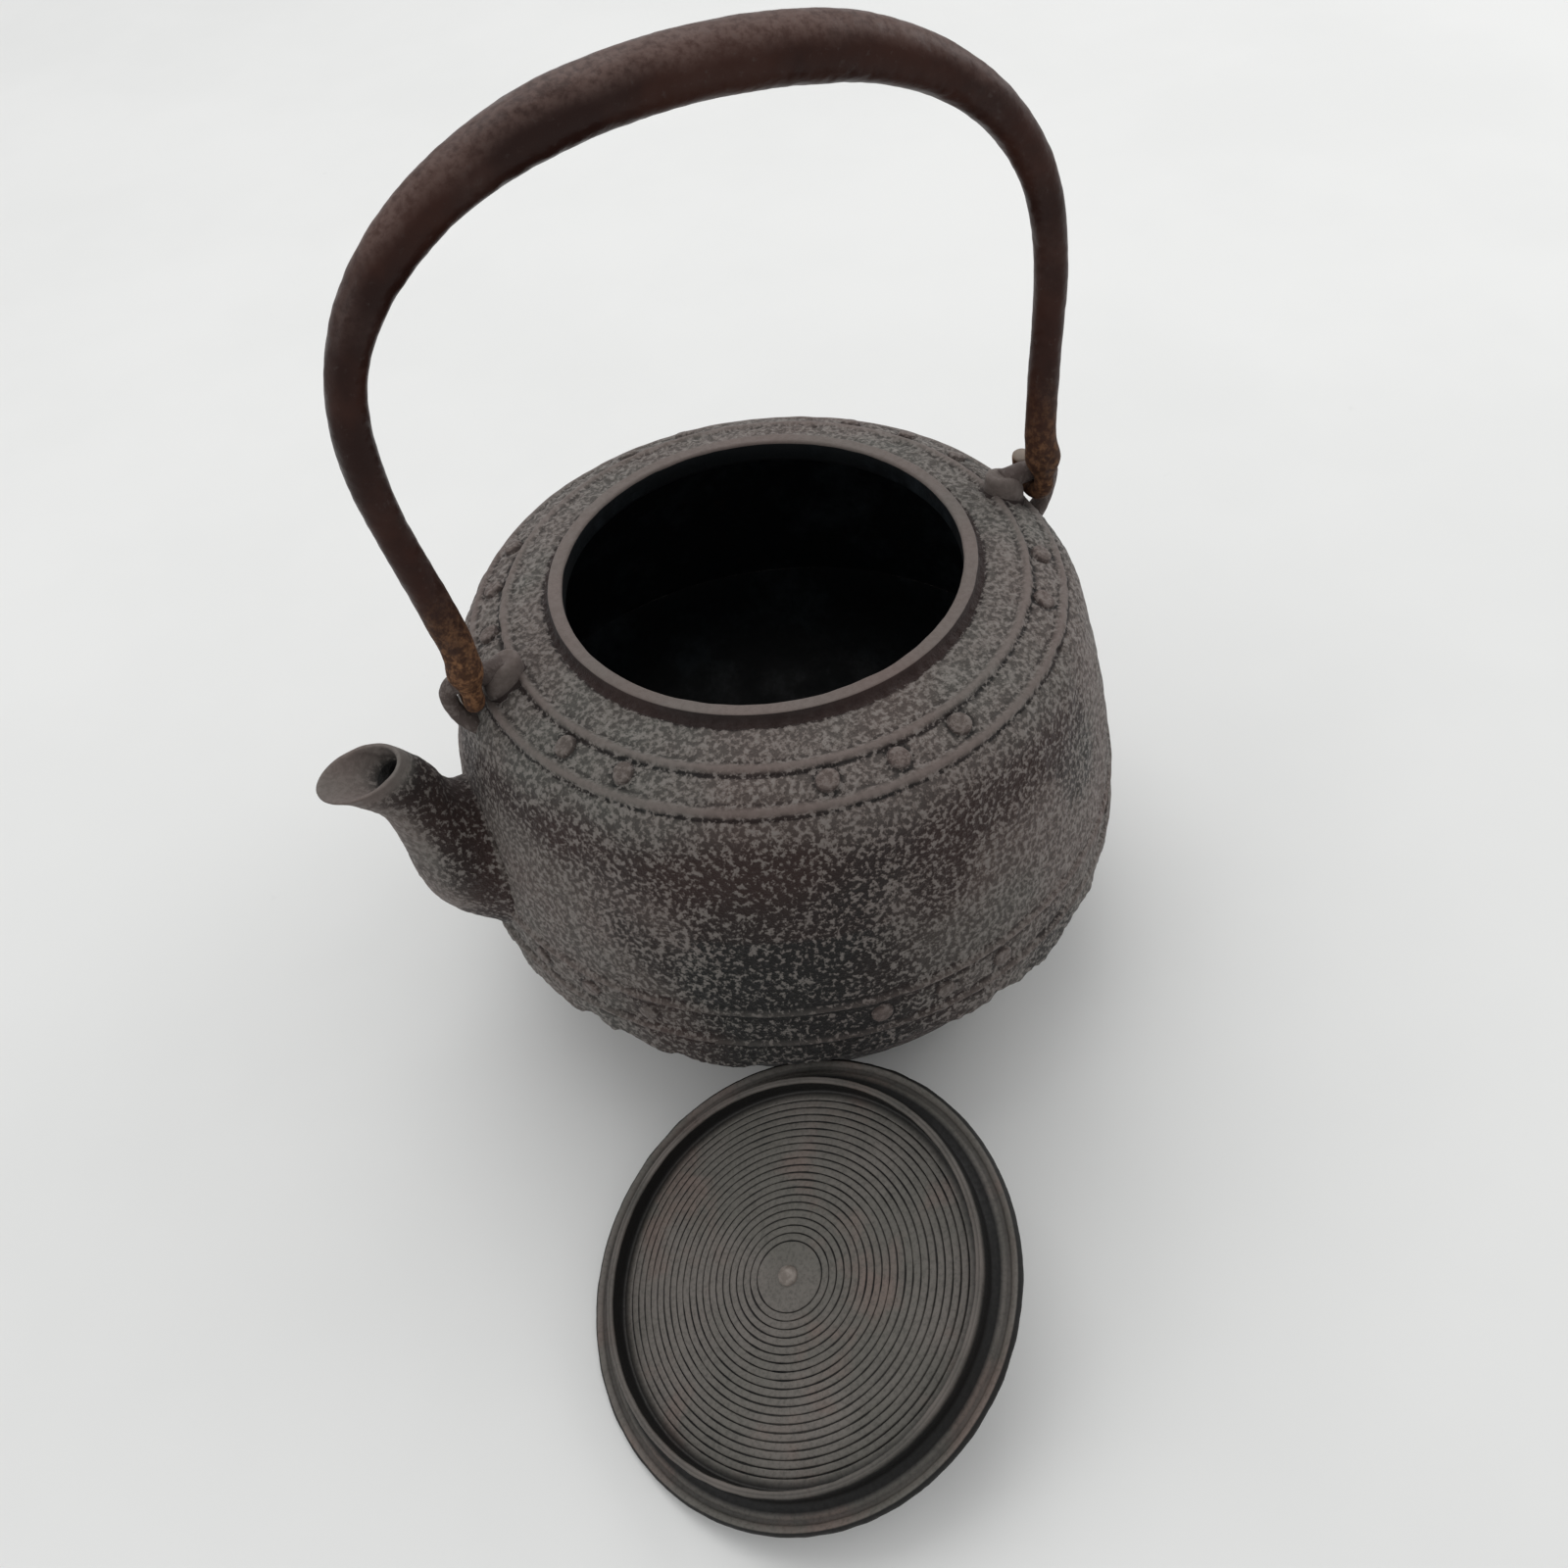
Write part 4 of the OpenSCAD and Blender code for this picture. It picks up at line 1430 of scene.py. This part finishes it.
@dataclass
class Ear:
    """An ear of the bail: a smooth dome on the shoulder, a bar and a thin loop to the wall."""

    outline: Outline
    side: Side
    hook_x: float = 71.8
    pivot_z: float = 117.5
    bar_r: float = 2.6
    loop_r: float = 1.9
    dome_x: float = 64.3
    bar_x: float = 63.0
    reach: float = 2.1
    bend: float = 2.6
    fall: float = 16.0

    def dome(self) -> Surface:
        """The dome: a curve of height over the shoulder, taken round an upright axis.

        The curve runs from the apex over a steep side into a hollow foot, and its height is
        added to the shoulder's own height under each point.

        Returns:
            The dome, closed under the shoulder.
        """
        curve = np.array([
            [0.0, 5.9], [2.4, 5.82], [3.7, 5.55], [4.4, 5.0], [4.8, 4.2], [4.95, 3.2],
            [5.0, 2.2], [5.02, 1.1], [5.1, 0.35], [5.4, 0.0], [6.1, -0.3], [6.6, -0.9],
        ])
        fine = resample(curve, 60)
        fine = np.concatenate([fine[:1], soften(fine, 3)[1:-1], fine[-1:]])
        a = 2 * np.pi * np.arange(72) / 72
        cx = self.dome_x
        reach = 1 - 0.12 * np.clip(np.cos(a), 0, 1) ** 2 + 0.10 * np.clip(-np.cos(a), 0, 1)
        x = cx + fine[1:, :1] * (np.cos(a) * reach)[None]
        y = 0.80 * fine[1:, :1] * np.sin(a)[None]
        ground = self.outline.height(np.hypot(x, y))
        level = float(self.outline.height(np.array(cx)))
        follow = step_up(fine[1:, :1], 1.0, 5.2)
        z = fine[1:, 1:] + level + (ground - level) * (0.35 + 0.65 * follow)
        top = np.array([cx, 0, fine[0, 1] + level])
        rings = np.stack([x, y, z], -1)
        foot = np.array([cx, 0, level - 2.5])
        return rings_to_surface(rings, top, foot)

    def crease_shade(self, points: Array) -> Array:
        """Painted shade: a value of 1 in the crease where the dome meets the shoulder, and 0 from 2 mm up.
        """
        over = points[:, 2] - self.outline.height(np.hypot(points[:, 0], points[:, 1]))
        return 1 - step_up(over, 0.3, 1.9)

    def loop(self) -> Surface:
        """Bar, elbow and fall as one tube: a straight run, a tight bend and a wide bend.

        Returns:
            The tube, closed at both ends.
        """
        end_x, level = self.hook_x + self.reach, self.pivot_z
        run = np.stack([np.linspace(self.bar_x, end_x, 30), np.full(30, level)], -1)
        turn = np.radians(np.linspace(90, 0, 18))[1:]
        elbow = np.stack([
            end_x + self.bend * np.cos(turn),
            level - self.bend + self.bend * np.sin(turn),
        ], -1)
        arc = np.radians(np.linspace(0, -62, 34))[1:]
        down = np.stack([
            end_x + self.bend - self.fall + self.fall * np.cos(arc),
            level - self.bend + self.fall * np.sin(arc),
        ], -1)
        flat = resample(np.concatenate([run, elbow, down]), 90)
        path = np.stack([flat[:, 0], 0 * flat[:, 0], flat[:, 1]], -1)
        s = arc_length(path)
        bar_to = end_x - self.bar_x
        stations = [0, bar_to - 0.8, bar_to + 2.5, bar_to + 9, s[-1]]
        thick = [self.bar_r, self.bar_r, self.loop_r + 0.05, self.loop_r, self.loop_r + 0.9]
        radii = np.interp(s, stations, thick)
        rings = tube(path, radii, 40, np.array([0.0, 1.0, 0.0]))
        return rings_to_surface(rings, path[0], path[-1])

    def build(self, finishes: Finishes) -> bpy.types.Object:
        """Builds the ear on its own side of the kettle.

        Args:
            finishes: Every material.

        Returns:
            The piece.
        """
        dome, loop = self.dome(), self.loop()
        dp, lp = dome.points, loop.points
        dome.marks = {
            "smooth": 0.9 - 0.5 * step_up(-dp[:, 2], -114.0, -111.5),
            # dark: painted shade in the crease at the dome's foot.
            "dark": (0.06 + 0.45 * step_up(dp[:, 0], 68.0, 70.5) + 0.9 * self.crease_shade(dp)).clip(0, 1),
            "red": np.full(len(dp), 0.6),
        }
        loop.marks = {
            "smooth": np.full(len(lp), 0.7),
            "dark": 0.55 + 0.30 * step_up(74.5 - lp[:, 0], 0, 3),
            "red": np.full(len(lp), 0.9),
        }
        surface = dome.joined(loop)
        p = surface.points
        uneven = 0.05 * ripple(p, 4.5, 61) + 0.02 * ripple(p, 1.8, 62)
        surface.points = (p + surface.normals() * uneven[:, None]) * np.array([self.side.value, 1, 1])
        surface.outward()
        name = self.side.name.lower()
        return place(surface.build(f"ear_{name}", [finishes.cast]), Body.KETTLE, Slot.KETTLE, f"{name}_ear")


# ------------------------------------------------------------------ bail


@dataclass
class Bail:
    """The forged bail: a hook, a flared leg, a swelling grip, a leg and a hook in one bar."""

    hook_x: float = 71.8
    pivot_z: float = 117.5
    turn_r: float = 5.2
    wire_r: float = 2.3
    half_w: float = 77.5
    waist_h: float = 56.0
    height: float = 109.5
    lean: float = 11.0
    ankle_r: float = 3.65
    leg_d: float = 7.8
    grip_d: float = 13.8
    share: float = 0.6
    square: float = 2.2
    columns: int = 56

    def centre_line(self) -> tuple[Array, Array]:
        """One half of the bar, from the hook's cut end to the top of the grip.

        The hook turns 205 degrees round the ear's bar, then the leg rises and swells out by
        a smooth step, and the arch above the waist is a squared ellipse.

        Returns:
            The path in the bail's own frame, and the radius along it.
        """
        turn = np.radians(np.linspace(205, 0, 80))
        back, down = -self.turn_r * np.cos(turn), -self.turn_r * np.sin(turn)
        hook = np.stack([0 * turn + self.hook_x, back, down], -1)
        h = np.linspace(0.4, self.waist_h, 120)
        v = 1 - np.clip(h, 8, None) / self.waist_h
        x = self.half_w - (self.half_w - self.hook_x + 1) * v * v * (3 - 2 * v)
        x = x + (self.hook_x - x) * (1 - step_up(h, 3, 14))
        leg = np.stack([x, np.full(120, -self.turn_r), h], -1)
        a = np.linspace(np.pi / 2, 0, 260)[1:]
        x = self.half_w * np.sin(a) ** (2 / self.square)
        z = self.waist_h + (self.height - self.waist_h) * np.cos(a) ** (2 / self.square)
        bow = np.stack([x, np.full(len(x), -self.turn_r), z], -1)
        path = resample(np.concatenate([hook, leg, bow]), 420)
        path = np.concatenate([path[:1], soften(path, 2)[1:-1], path[-1:]])
        s = arc_length(path)
        low = s[np.argmin(np.abs(path[:, 2]) + 99 * (path[:, 1] > 0))]
        rise = s - low
        waist = s[np.argmin(np.abs(path[:, 2] - self.waist_h))] - low
        u = np.clip((rise - waist) / (s[-1] - low - waist), 0, 1)
        upper = (self.leg_d + (self.grip_d - self.leg_d) * np.cos(np.pi / 2 * (1 - u)) ** 1.8) / 2
        stations = [-99, 0.6, 2.6, 4.2, 6.0, 8.5, 14]
        flare = np.interp(rise, stations, [self.wire_r, self.wire_r, 3.35, 4.15, 4.1, 3.75, self.ankle_r])
        leg_r = self.ankle_r + (self.leg_d / 2 - self.ankle_r) * step_up(rise, 14, waist)
        lower = np.where(rise < 14, flare, leg_r)
        radii = soften(np.where(rise > waist, upper, lower), 2)
        return path, radii

    def build(self, finishes: Finishes) -> bpy.types.Object:
        """Builds the whole bar as one tube, hammered a little, leaning back at its hinge.

        Args:
            finishes: Every material.

        Returns:
            The piece.
        """
        half, radii = self.centre_line()
        path = np.concatenate([half, (half * np.array([-1, 1, 1]))[-2::-1]])
        radii = np.concatenate([radii, radii[-2::-1]])
        tips = np.minimum(arc_length(path), arc_length(path)[-1] - arc_length(path))
        radii = radii * (0.80 + 0.20 * np.sqrt(np.clip(tips / 0.7, 0, 1)))
        grip = step_up(path[:, 2], 70, 104)
        rings = tube(path, radii, self.columns, np.array([0.6, 0.8, 0.0]))
        surface = rings_to_surface(rings, path[0], path[-1])
        row, _ = flat_index(rings)
        row = np.append(row, [0, len(path) - 1])
        p = surface.points
        free = np.clip((radii[row] - self.wire_r) / 1.3, 0, 1)
        n = surface.normals()
        facets = 0.06 * np.tanh(1.6 * ripple(p, 14.0, 71)) + 0.022 * ripple(p, 5.0, 72)
        height = free * (facets + 0.13 * ripple(p, 34.0, 73)) + 0.018 * ripple(p, 2.6, 74)
        pts = p + n * height[:, None]
        lean = math.radians(self.lean)
        turn = turned(Axis.X, -lean)
        surface.points = pts @ turn.T + np.array([0, 0, self.pivot_z])
        up = (n @ turn.T)[:, 2]
        z = p[:, 2]
        front = p[:, 0] < 0
        fret = 1 + 0.5 * ripple(p, 4.0, 75)
        rust = (1 - step_up(z, 0, 30)) * np.where(front, 1.15, 0.70) * (0.75 + 0.25 * fret)
        end = 1 - step_up(np.append(np.repeat(tips, self.columns), [0, 0]), 0.25, 1.0)
        # Painted sheen: faces that point up are greyed, more on the grip, where hands also polish it.
        rubbed = step_up(up, 0.15, 0.95) * (0.45 + 0.55 * grip[row])
        surface.marks = {
            "worn": (rubbed + 0.10 * ripple(p, 18.0, 76)).clip(0, 1),
            "rust": rust.clip(0, 1),
            "bright": (end * (~front) * 0.75).clip(0, 1),
        }
        obj = surface.build("bail_bar", [finishes.forged])
        return place(obj, Body.BAIL, Slot.BAIL, "bail_arch", "front_hook", "rear_hook")


# ------------------------------------------------------------------ lid


@dataclass
class LidPose:
    """How the lid lies: knob down, tipped until its edge and its knob touch the table."""

    at: tuple[float, float] = (-54.3, -114.5)
    azimuth: float = -177.0
    knob_r: float = 8.5
    knob_h: float = 12.5
    core_r: float = 50.0
    edge_r: float = 1.2

    def lay(self, points: Array) -> Array:
        """Turns points of the lid's own frame over and lays them on the table.

        Args:
            points: Places in the lid's own frame, knob upwards.

        Returns:
            The same places on the lid as it lies.
        """
        reach = math.hypot(self.knob_h, self.core_r)
        tilt = math.asin((self.knob_r - self.edge_r) / reach) + math.atan(self.knob_h / self.core_r)
        over = turned(Axis.Y, math.pi + tilt)
        round_z = turned(Axis.Z, math.radians(self.azimuth))
        lift = self.core_r * math.sin(tilt) + self.edge_r
        return points @ (round_z @ over).T + np.array([*self.at, lift])


@dataclass
class Lid:
    """The lid's plate and flange, turned with twenty grooves on its underside."""

    pose: LidPose
    flange_r: float = 44.8
    flange_t: float = 1.8
    flange_h: float = 7.1
    grooves: int = 20
    first_r: float = 7.7
    pitch: float = 1.72
    centre_z: float = -5.25
    columns: int = 300

    def underside(self, r: Array) -> Array:
        """Height of the underside: a shallow bowl, with a raised spot round the rivet."""
        spot = 0.45 * (1 - step_up(r, 2.4, 5.6))
        return self.centre_z + 0.00163 * r * r - spot

    def profile(self) -> tuple[Array, Array, Array, Array]:
        """Half section from the middle of the underside round to the middle of the top.

        Returns:
            The profile, how deep each ring lies in a groove (and, as painted shade, how black the edge and
            the face turned to the table are), how worn it is and how much painted shade it gets.
        """
        out, inner = self.flange_r, self.flange_r - self.flange_t
        groove_r = self.first_r + self.pitch * np.arange(self.grooves)
        steps = np.array([-0.19, -0.11, 0.0, 0.11, 0.19, 0.42, 1.30])
        middle, outside = [0.8, 1.6, 2.4, 3.2, 4.0, 5.0, 6.0, 7.2], [42.2, 42.6]
        r = np.concatenate([middle, (groove_r[:, None] + steps).ravel(), outside])
        one_groove = [0, 0.26, 0.34, 0.26, 0, -0.03, -0.03]
        depth = np.concatenate([np.zeros(8), np.tile(one_groove, self.grooves), [0, 0]])
        under = np.stack([r, self.underside(r) + depth], -1)
        cut = np.concatenate([np.zeros(8), np.tile([0.0, 1.0, 1.0, 1.0, 0.0, 0, 0], self.grooves), [0, 0]])
        foot = float(self.underside(np.array(42.6)))
        z = -self.flange_h
        a = np.radians(np.linspace(180, 90, 5))
        b = np.radians(np.linspace(90, 0, 5))
        c = np.radians(np.linspace(-75, 80, 12))
        core, edge = self.pose.core_r, self.pose.edge_r
        r_top = np.linspace(core - 0.9, 1.5, 34)
        dish = self.centre_z + 4.2 + 0.0013 * np.clip(r_top - 8, 0, None) ** 2
        parts = {
            "under": under,
            "wall_in": [
                [42.85, foot - 0.35], [inner, foot - 1.0], [inner + 0.08, -4.6], [inner + 0.12, z + 0.7],
            ],
            "rim_in": np.stack([inner + 0.55 + 0.42 * np.cos(a), z + 0.45 - 0.42 * np.sin(a)], -1),
            "rim_mid": [[inner + 0.95, z + 0.12], [inner + 1.12, z + 0.03]],
            "rim_out": np.stack([out - 0.55 + 0.42 * np.cos(b), z + 0.45 - 0.42 * np.sin(b)], -1),
            "wall_out": [[out - 0.05, -5.2], [out, -2.4], [out + 0.15, -1.5], [out + 0.7, -1.2]],
            "seat": [
                [46.6, -1.16], [47.4, -1.2], [47.75, -0.95], [48.1, -0.55],
                [48.6, -0.5], [49.0, -0.6], [49.25, -0.95],
            ],
            "round_edge": np.stack([core + (edge - 0.02) * np.cos(c), edge * np.sin(c)], -1),
            "top": np.stack([r_top, np.minimum(edge, dish)], -1),
        }
        line = np.concatenate([np.asarray(part, float) for part in parts.values()])
        end = dict(zip(parts, np.cumsum([len(part) for part in parts.values()])))
        k = np.arange(len(line))
        cut_and_edge_shade = np.concatenate([cut, np.zeros(len(line) - len(cut))])
        cut_and_edge_shade[end["rim_in"]:end["rim_mid"]] = 0.35
        cut_and_edge_shade[end["wall_out"] + 3:end["wall_out"] + 6] = 0.5
        # Painted shade: the edge's last rows and the face turned to the table are blackened through the cut
        # mark.
        cut_and_edge_shade[end["round_edge"] - 7:] = 0.85
        on_rim = (k >= end["wall_in"]) & (k < end["rim_out"])
        on_ridge = (k >= end["wall_out"] + 3) & (k < end["seat"])
        worn = 0.60 * on_rim + 0.25 * on_ridge
        inside_wall = (k >= end["under"]) & (k < end["wall_in"])
        outside_wall = (k >= end["rim_out"]) & (k < end["wall_out"] + 1)
        on_edge = (k >= end["seat"] + 1) & (k < end["round_edge"])
        shade = 0.95 * (inside_wall | outside_wall) + 1.0 * on_edge + 0.5 * (k >= end["round_edge"])
        return line, cut_and_edge_shade, worn, shade

    def build(self, finishes: Finishes) -> bpy.types.Object:
        """Builds the lid as one closed turned surface and lays it down.

        Args:
            finishes: Every material.

        Returns:
            The piece.
        """
        line, cut, worn, shade = self.profile()
        rings = revolve(line, self.columns)
        surface = rings_to_surface(rings, np.array([0, 0, line[0, 1]]), np.array([0, 0, line[-1, 1]]))
        row, column = flat_index(rings)
        row = np.append(row, [0, len(line) - 1])
        turn = np.append(2 * np.pi * column / self.columns, [0, 0])
        p = surface.points
        r = np.hypot(p[:, 0], p[:, 1])
        height = 0.035 * ripple(p, 7.0, 81) + 0.02 * ripple(p, 2.2, 82)
        surface.points = self.pose.lay(p + surface.normals() * height[:, None])
        fade = 0.90 + 0.10 * np.cos(turn * 2 + 0.6) + 0.08 * ripple(p, 22.0, 83)
        cove = 0.9 * bump_at(r, 42.3, 1.0) + 0.92 * bump_at(r, 45.9, 1.5) * (p[:, 2] < 0)
        surface.marks = {
            "cut": (cut[row] * fade).clip(0, 1),
            "worn": (worn[row] * (0.75 + 0.4 * ripple(p, 14.0, 84))).clip(0, 1),
            "shade": (cove * (p[:, 2] < 0.2) + shade[row]).clip(0, 1),
        }
        obj = surface.build("lid_plate_turned", [finishes.turned])
        return place(obj, Body.LID, Slot.LID, "lid_plate", "lid_flange")


@dataclass
class KnobSet:
    """Knob, washer and rivet."""

    pose: LidPose
    top_z: float = -1.05
    washer_t: float = 1.2
    washer_r: float = 8.0
    shank_r: float = 1.5
    hole_r: float = 1.58
    peen_r: float = 2.25
    peen_h: float = 1.25
    low_z: float = -5.8

    def washer(self, finishes: Finishes) -> bpy.types.Object:
        """The washer: a ring with rounded edges and a slightly dished face.

        Args:
            finishes: Every material.

        Returns:
            The piece.
        """
        z0, z1, r, hole = self.top_z, self.top_z + self.washer_t, self.washer_r, self.hole_r
        section = np.array([
            [hole, z0 + 0.05], [r - 0.3, z0 + 0.02], [r - 0.05, z0 + 0.2], [r, z0 + 0.6],
            [r - 0.08, z1 - 0.2], [r - 0.35, z1 - 0.03], [5.6, z1], [3.2, z1 - 0.04],
            [hole + 0.1, z1 - 0.05], [hole, z1 - 0.15],
        ])
        closed = np.concatenate([section, section[:1]])
        rings = revolve(resample(closed, 49)[:-1], 120)
        surface = rings_to_surface(rings)
        surface.points = self.pose.lay(surface.points)
        piece = surface.build("knob_washer_ring", [finishes.peened])
        return place(piece, Body.LID, Slot.FITTING, "knob_washer")

    def knob(self, finishes: Finishes) -> bpy.types.Object:
        """The knob: foot, neck and a slightly flattened ball, turned in one curve.

        Args:
            finishes: Every material.

        Returns:
            The piece.
        """
        foot = self.top_z + self.washer_t + 0.16
        h, r = self.pose.knob_h, self.pose.knob_r
        a = np.radians(np.linspace(-56, 90, 60))
        ball = np.stack([r * np.cos(a), h + r * np.sin(a)], -1)
        neck_end = (float(ball[0, 0]), float(ball[0, 1]))
        bends = [(5.6, foot + 0.8), (4.3, foot + 2.2), (3.9, h - 8.2), neck_end]
        neck = bezier(bends, np.linspace(0, 1, 24))
        low = np.array([[self.shank_r, foot + 0.05], [5.2, foot + 0.02], [5.55, foot + 0.25]])
        profile = np.concatenate([low, neck[:-1], ball[:-1]])
        rings = revolve(profile, 96)
        surface = rings_to_surface(rings, np.array([0, 0, foot + 0.2]), np.array([0, 0, h + r]))
        p = surface.points
        seen = step_up(p[:, 2], foot + 1.2, foot + 3.0)
        dents = 0.06 * np.abs(ripple(p, 2.8, 91)) * seen
        surface.points = self.pose.lay(p - surface.normals() * dents[:, None])
        surface.marks = {
            "cut": 0.55 * bump_at(p[:, 2], foot + 2.6, 1.4),
            "worn": 0.30 * step_up(p[:, 2], h + 2, h + 8),
            "shade": 0 * p[:, 0],
        }
        return place(surface.build("knob_ball", [finishes.turned]), Body.KNOB, Slot.KNOB, "knob")

    def rivet(self, finishes: Finishes) -> bpy.types.Object:
        """The rivet: a shank through the lid with a hammered, rounded head below it.

        Args:
            finishes: Every material.

        Returns:
            The piece.
        """
        low, r = self.low_z, self.peen_r
        up = np.radians(np.linspace(80, 0, 9))
        dome = np.stack([r * np.cos(up), low - self.peen_h * np.sin(up)], -1)
        head = np.concatenate([dome, [[r + 0.02, low + 0.2], [r, low + 0.5], [self.shank_r, low + 0.55]]])
        shank_z = np.linspace(low + 0.7, self.pose.knob_h - 6.0, 12)
        shank = np.stack([np.full(12, self.shank_r), shank_z], -1)
        profile = np.concatenate([head, shank])
        rings = revolve(profile, 64)
        tip, end = np.array([0, 0, low - self.peen_h]), np.array([0, 0, float(profile[-1, 1])])
        surface = rings_to_surface(rings, tip, end)
        p = surface.points
        seen = 1 - step_up(p[:, 2], low - 0.4, low)
        dents = 0.05 * ripple(p, 1.5, 92) * seen
        surface.points = self.pose.lay(p + surface.normals() * dents[:, None])
        piece = surface.build("knob_rivet_peened", [finishes.peened])
        return place(piece, Body.KNOB, Slot.FITTING, "knob_rivet")


# ------------------------------------------------------------------ studio


@dataclass
class Studio:
    """Table, lights and camera."""

    azimuth: float = -20.0
    elevation: float = 39.26
    distance: float = 361.6
    yaw: float = 0.20
    pitch: float = 8.13
    roll: float = -7.28
    lens: float = 36.0
    target_z: float = 120.0
    sky: float = 0.64
    lamps: tuple[tuple[str, tuple[float, float, float], float, float], ...] = (
        ("high", (0.05, 0.60, 1.35), 1.3, 7.5),
        ("right", (1.25, 0.15, 0.80), 0.8, 4.2),
        ("left", (-1.35, -0.15, 0.85), 0.8, 2.0),
    )

    def camera(self) -> None:
        """Sets the camera: it looks at the mouth's centre, then turns by yaw, pitch and roll."""
        e = math.radians(self.elevation)
        spot = self.distance * np.array([0, -math.cos(e), math.sin(e)])
        fwd = -spot / np.linalg.norm(spot)
        right = np.cross(fwd, [0, 0, 1])
        right /= np.linalg.norm(right)
        look = np.array([right, -np.cross(right, fwd), fwd])
        y, p, r = (math.radians(v) for v in (self.yaw, self.pitch, self.roll))
        rows = turned(Axis.Z, r) @ turned(Axis.X, p) @ turned(Axis.Y, y) @ look
        turn = turned(Axis.Z, math.radians(self.azimuth))
        axes = turn @ np.stack([rows[0], -rows[1], -rows[2]], -1)
        place_at = (turn @ spot + np.array([0, 0, self.target_z])) * MM
        data = bpy.data.cameras.new("camera")
        data.sensor_width = 36.0
        data.lens = self.lens
        data.clip_start = 0.01
        cam = bpy.data.objects.new("camera", data)
        bpy.context.scene.collection.objects.link(cam)
        full = np.eye(4)
        full[:3, :3], full[:3, 3] = axes, place_at
        cam.matrix_world = Matrix(full.tolist())
        bpy.context.scene.camera = cam

    def lamp(self, name: str, at: tuple[float, float, float], size: float, watts: float) -> None:
        """Hangs a square soft light that faces the kettle.

        Args:
            name: Name of the lamp.
            at: Place in metres.
            size: Side of the square in metres.
            watts: Power.
        """
        data = bpy.data.lights.new(name, "AREA")
        data.shape = "SQUARE"
        data.size, data.energy = size, watts
        lamp = bpy.data.objects.new(name, data)
        bpy.context.scene.collection.objects.link(lamp)
        way = Vector(at) - Vector((0, 0, 0.08))
        full = way.to_track_quat("Z", "Y").to_matrix().to_4x4()
        full.translation = at
        lamp.matrix_world = full

    def lights(self) -> None:
        """A pale sky all round, a large soft light high behind and weaker ones to the right and left."""
        world = bpy.data.worlds.new("sky")
        world.use_nodes = True
        back = world.node_tree.nodes["Background"]
        back.inputs["Color"].default_value = (0.985, 0.992, 1.0, 1.0)
        back.inputs["Strength"].default_value = self.sky
        bpy.context.scene.world = world
        for name, at, size, watts in self.lamps:
            self.lamp(name, at, size, watts)
        bpy.context.scene.view_settings.view_transform = "Standard"

    def table(self, finishes: Finishes) -> None:
        """Lays the table top as a flat grid.

        Args:
            finishes: Every material.
        """
        n, half = 12, 2500.0
        x = np.linspace(-half, half, n)
        points = np.stack([*np.meshgrid(x, x, indexing="ij"), np.zeros((n, n))], -1).reshape(-1, 3)
        i, j = np.meshgrid(np.arange(n - 1), np.arange(n - 1), indexing="ij")
        k = (i * n + j).ravel()
        top = Surface(points, [np.stack([k, k + n, k + n + 1, k + 1], -1)])
        top.build("table_top", [finishes.table])


def main() -> None:
    """Builds every sub-assembly in order and reports it."""
    logging.basicConfig(level=logging.INFO, format="%(name)s: %(message)s")
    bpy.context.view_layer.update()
    finishes = Finishes.all()
    outline = Outline.from_frame()
    KettleWall(outline).build(finishes)
    KettlePan(outline).build(finishes)
    Bosses(outline).build(finishes)
    Spout(outline).build(finishes)
    for side in Side:
        Ear(outline, side).build(finishes)
    Bail().build(finishes)
    pose = LidPose()
    Lid(pose).build(finishes)
    knob_set = KnobSet(pose)
    knob_set.washer(finishes)
    knob_set.knob(finishes)
    knob_set.rivet(finishes)
    studio = Studio()
    studio.table(finishes)
    studio.lights()
    studio.camera()


if __name__ == "__main__":
    main()
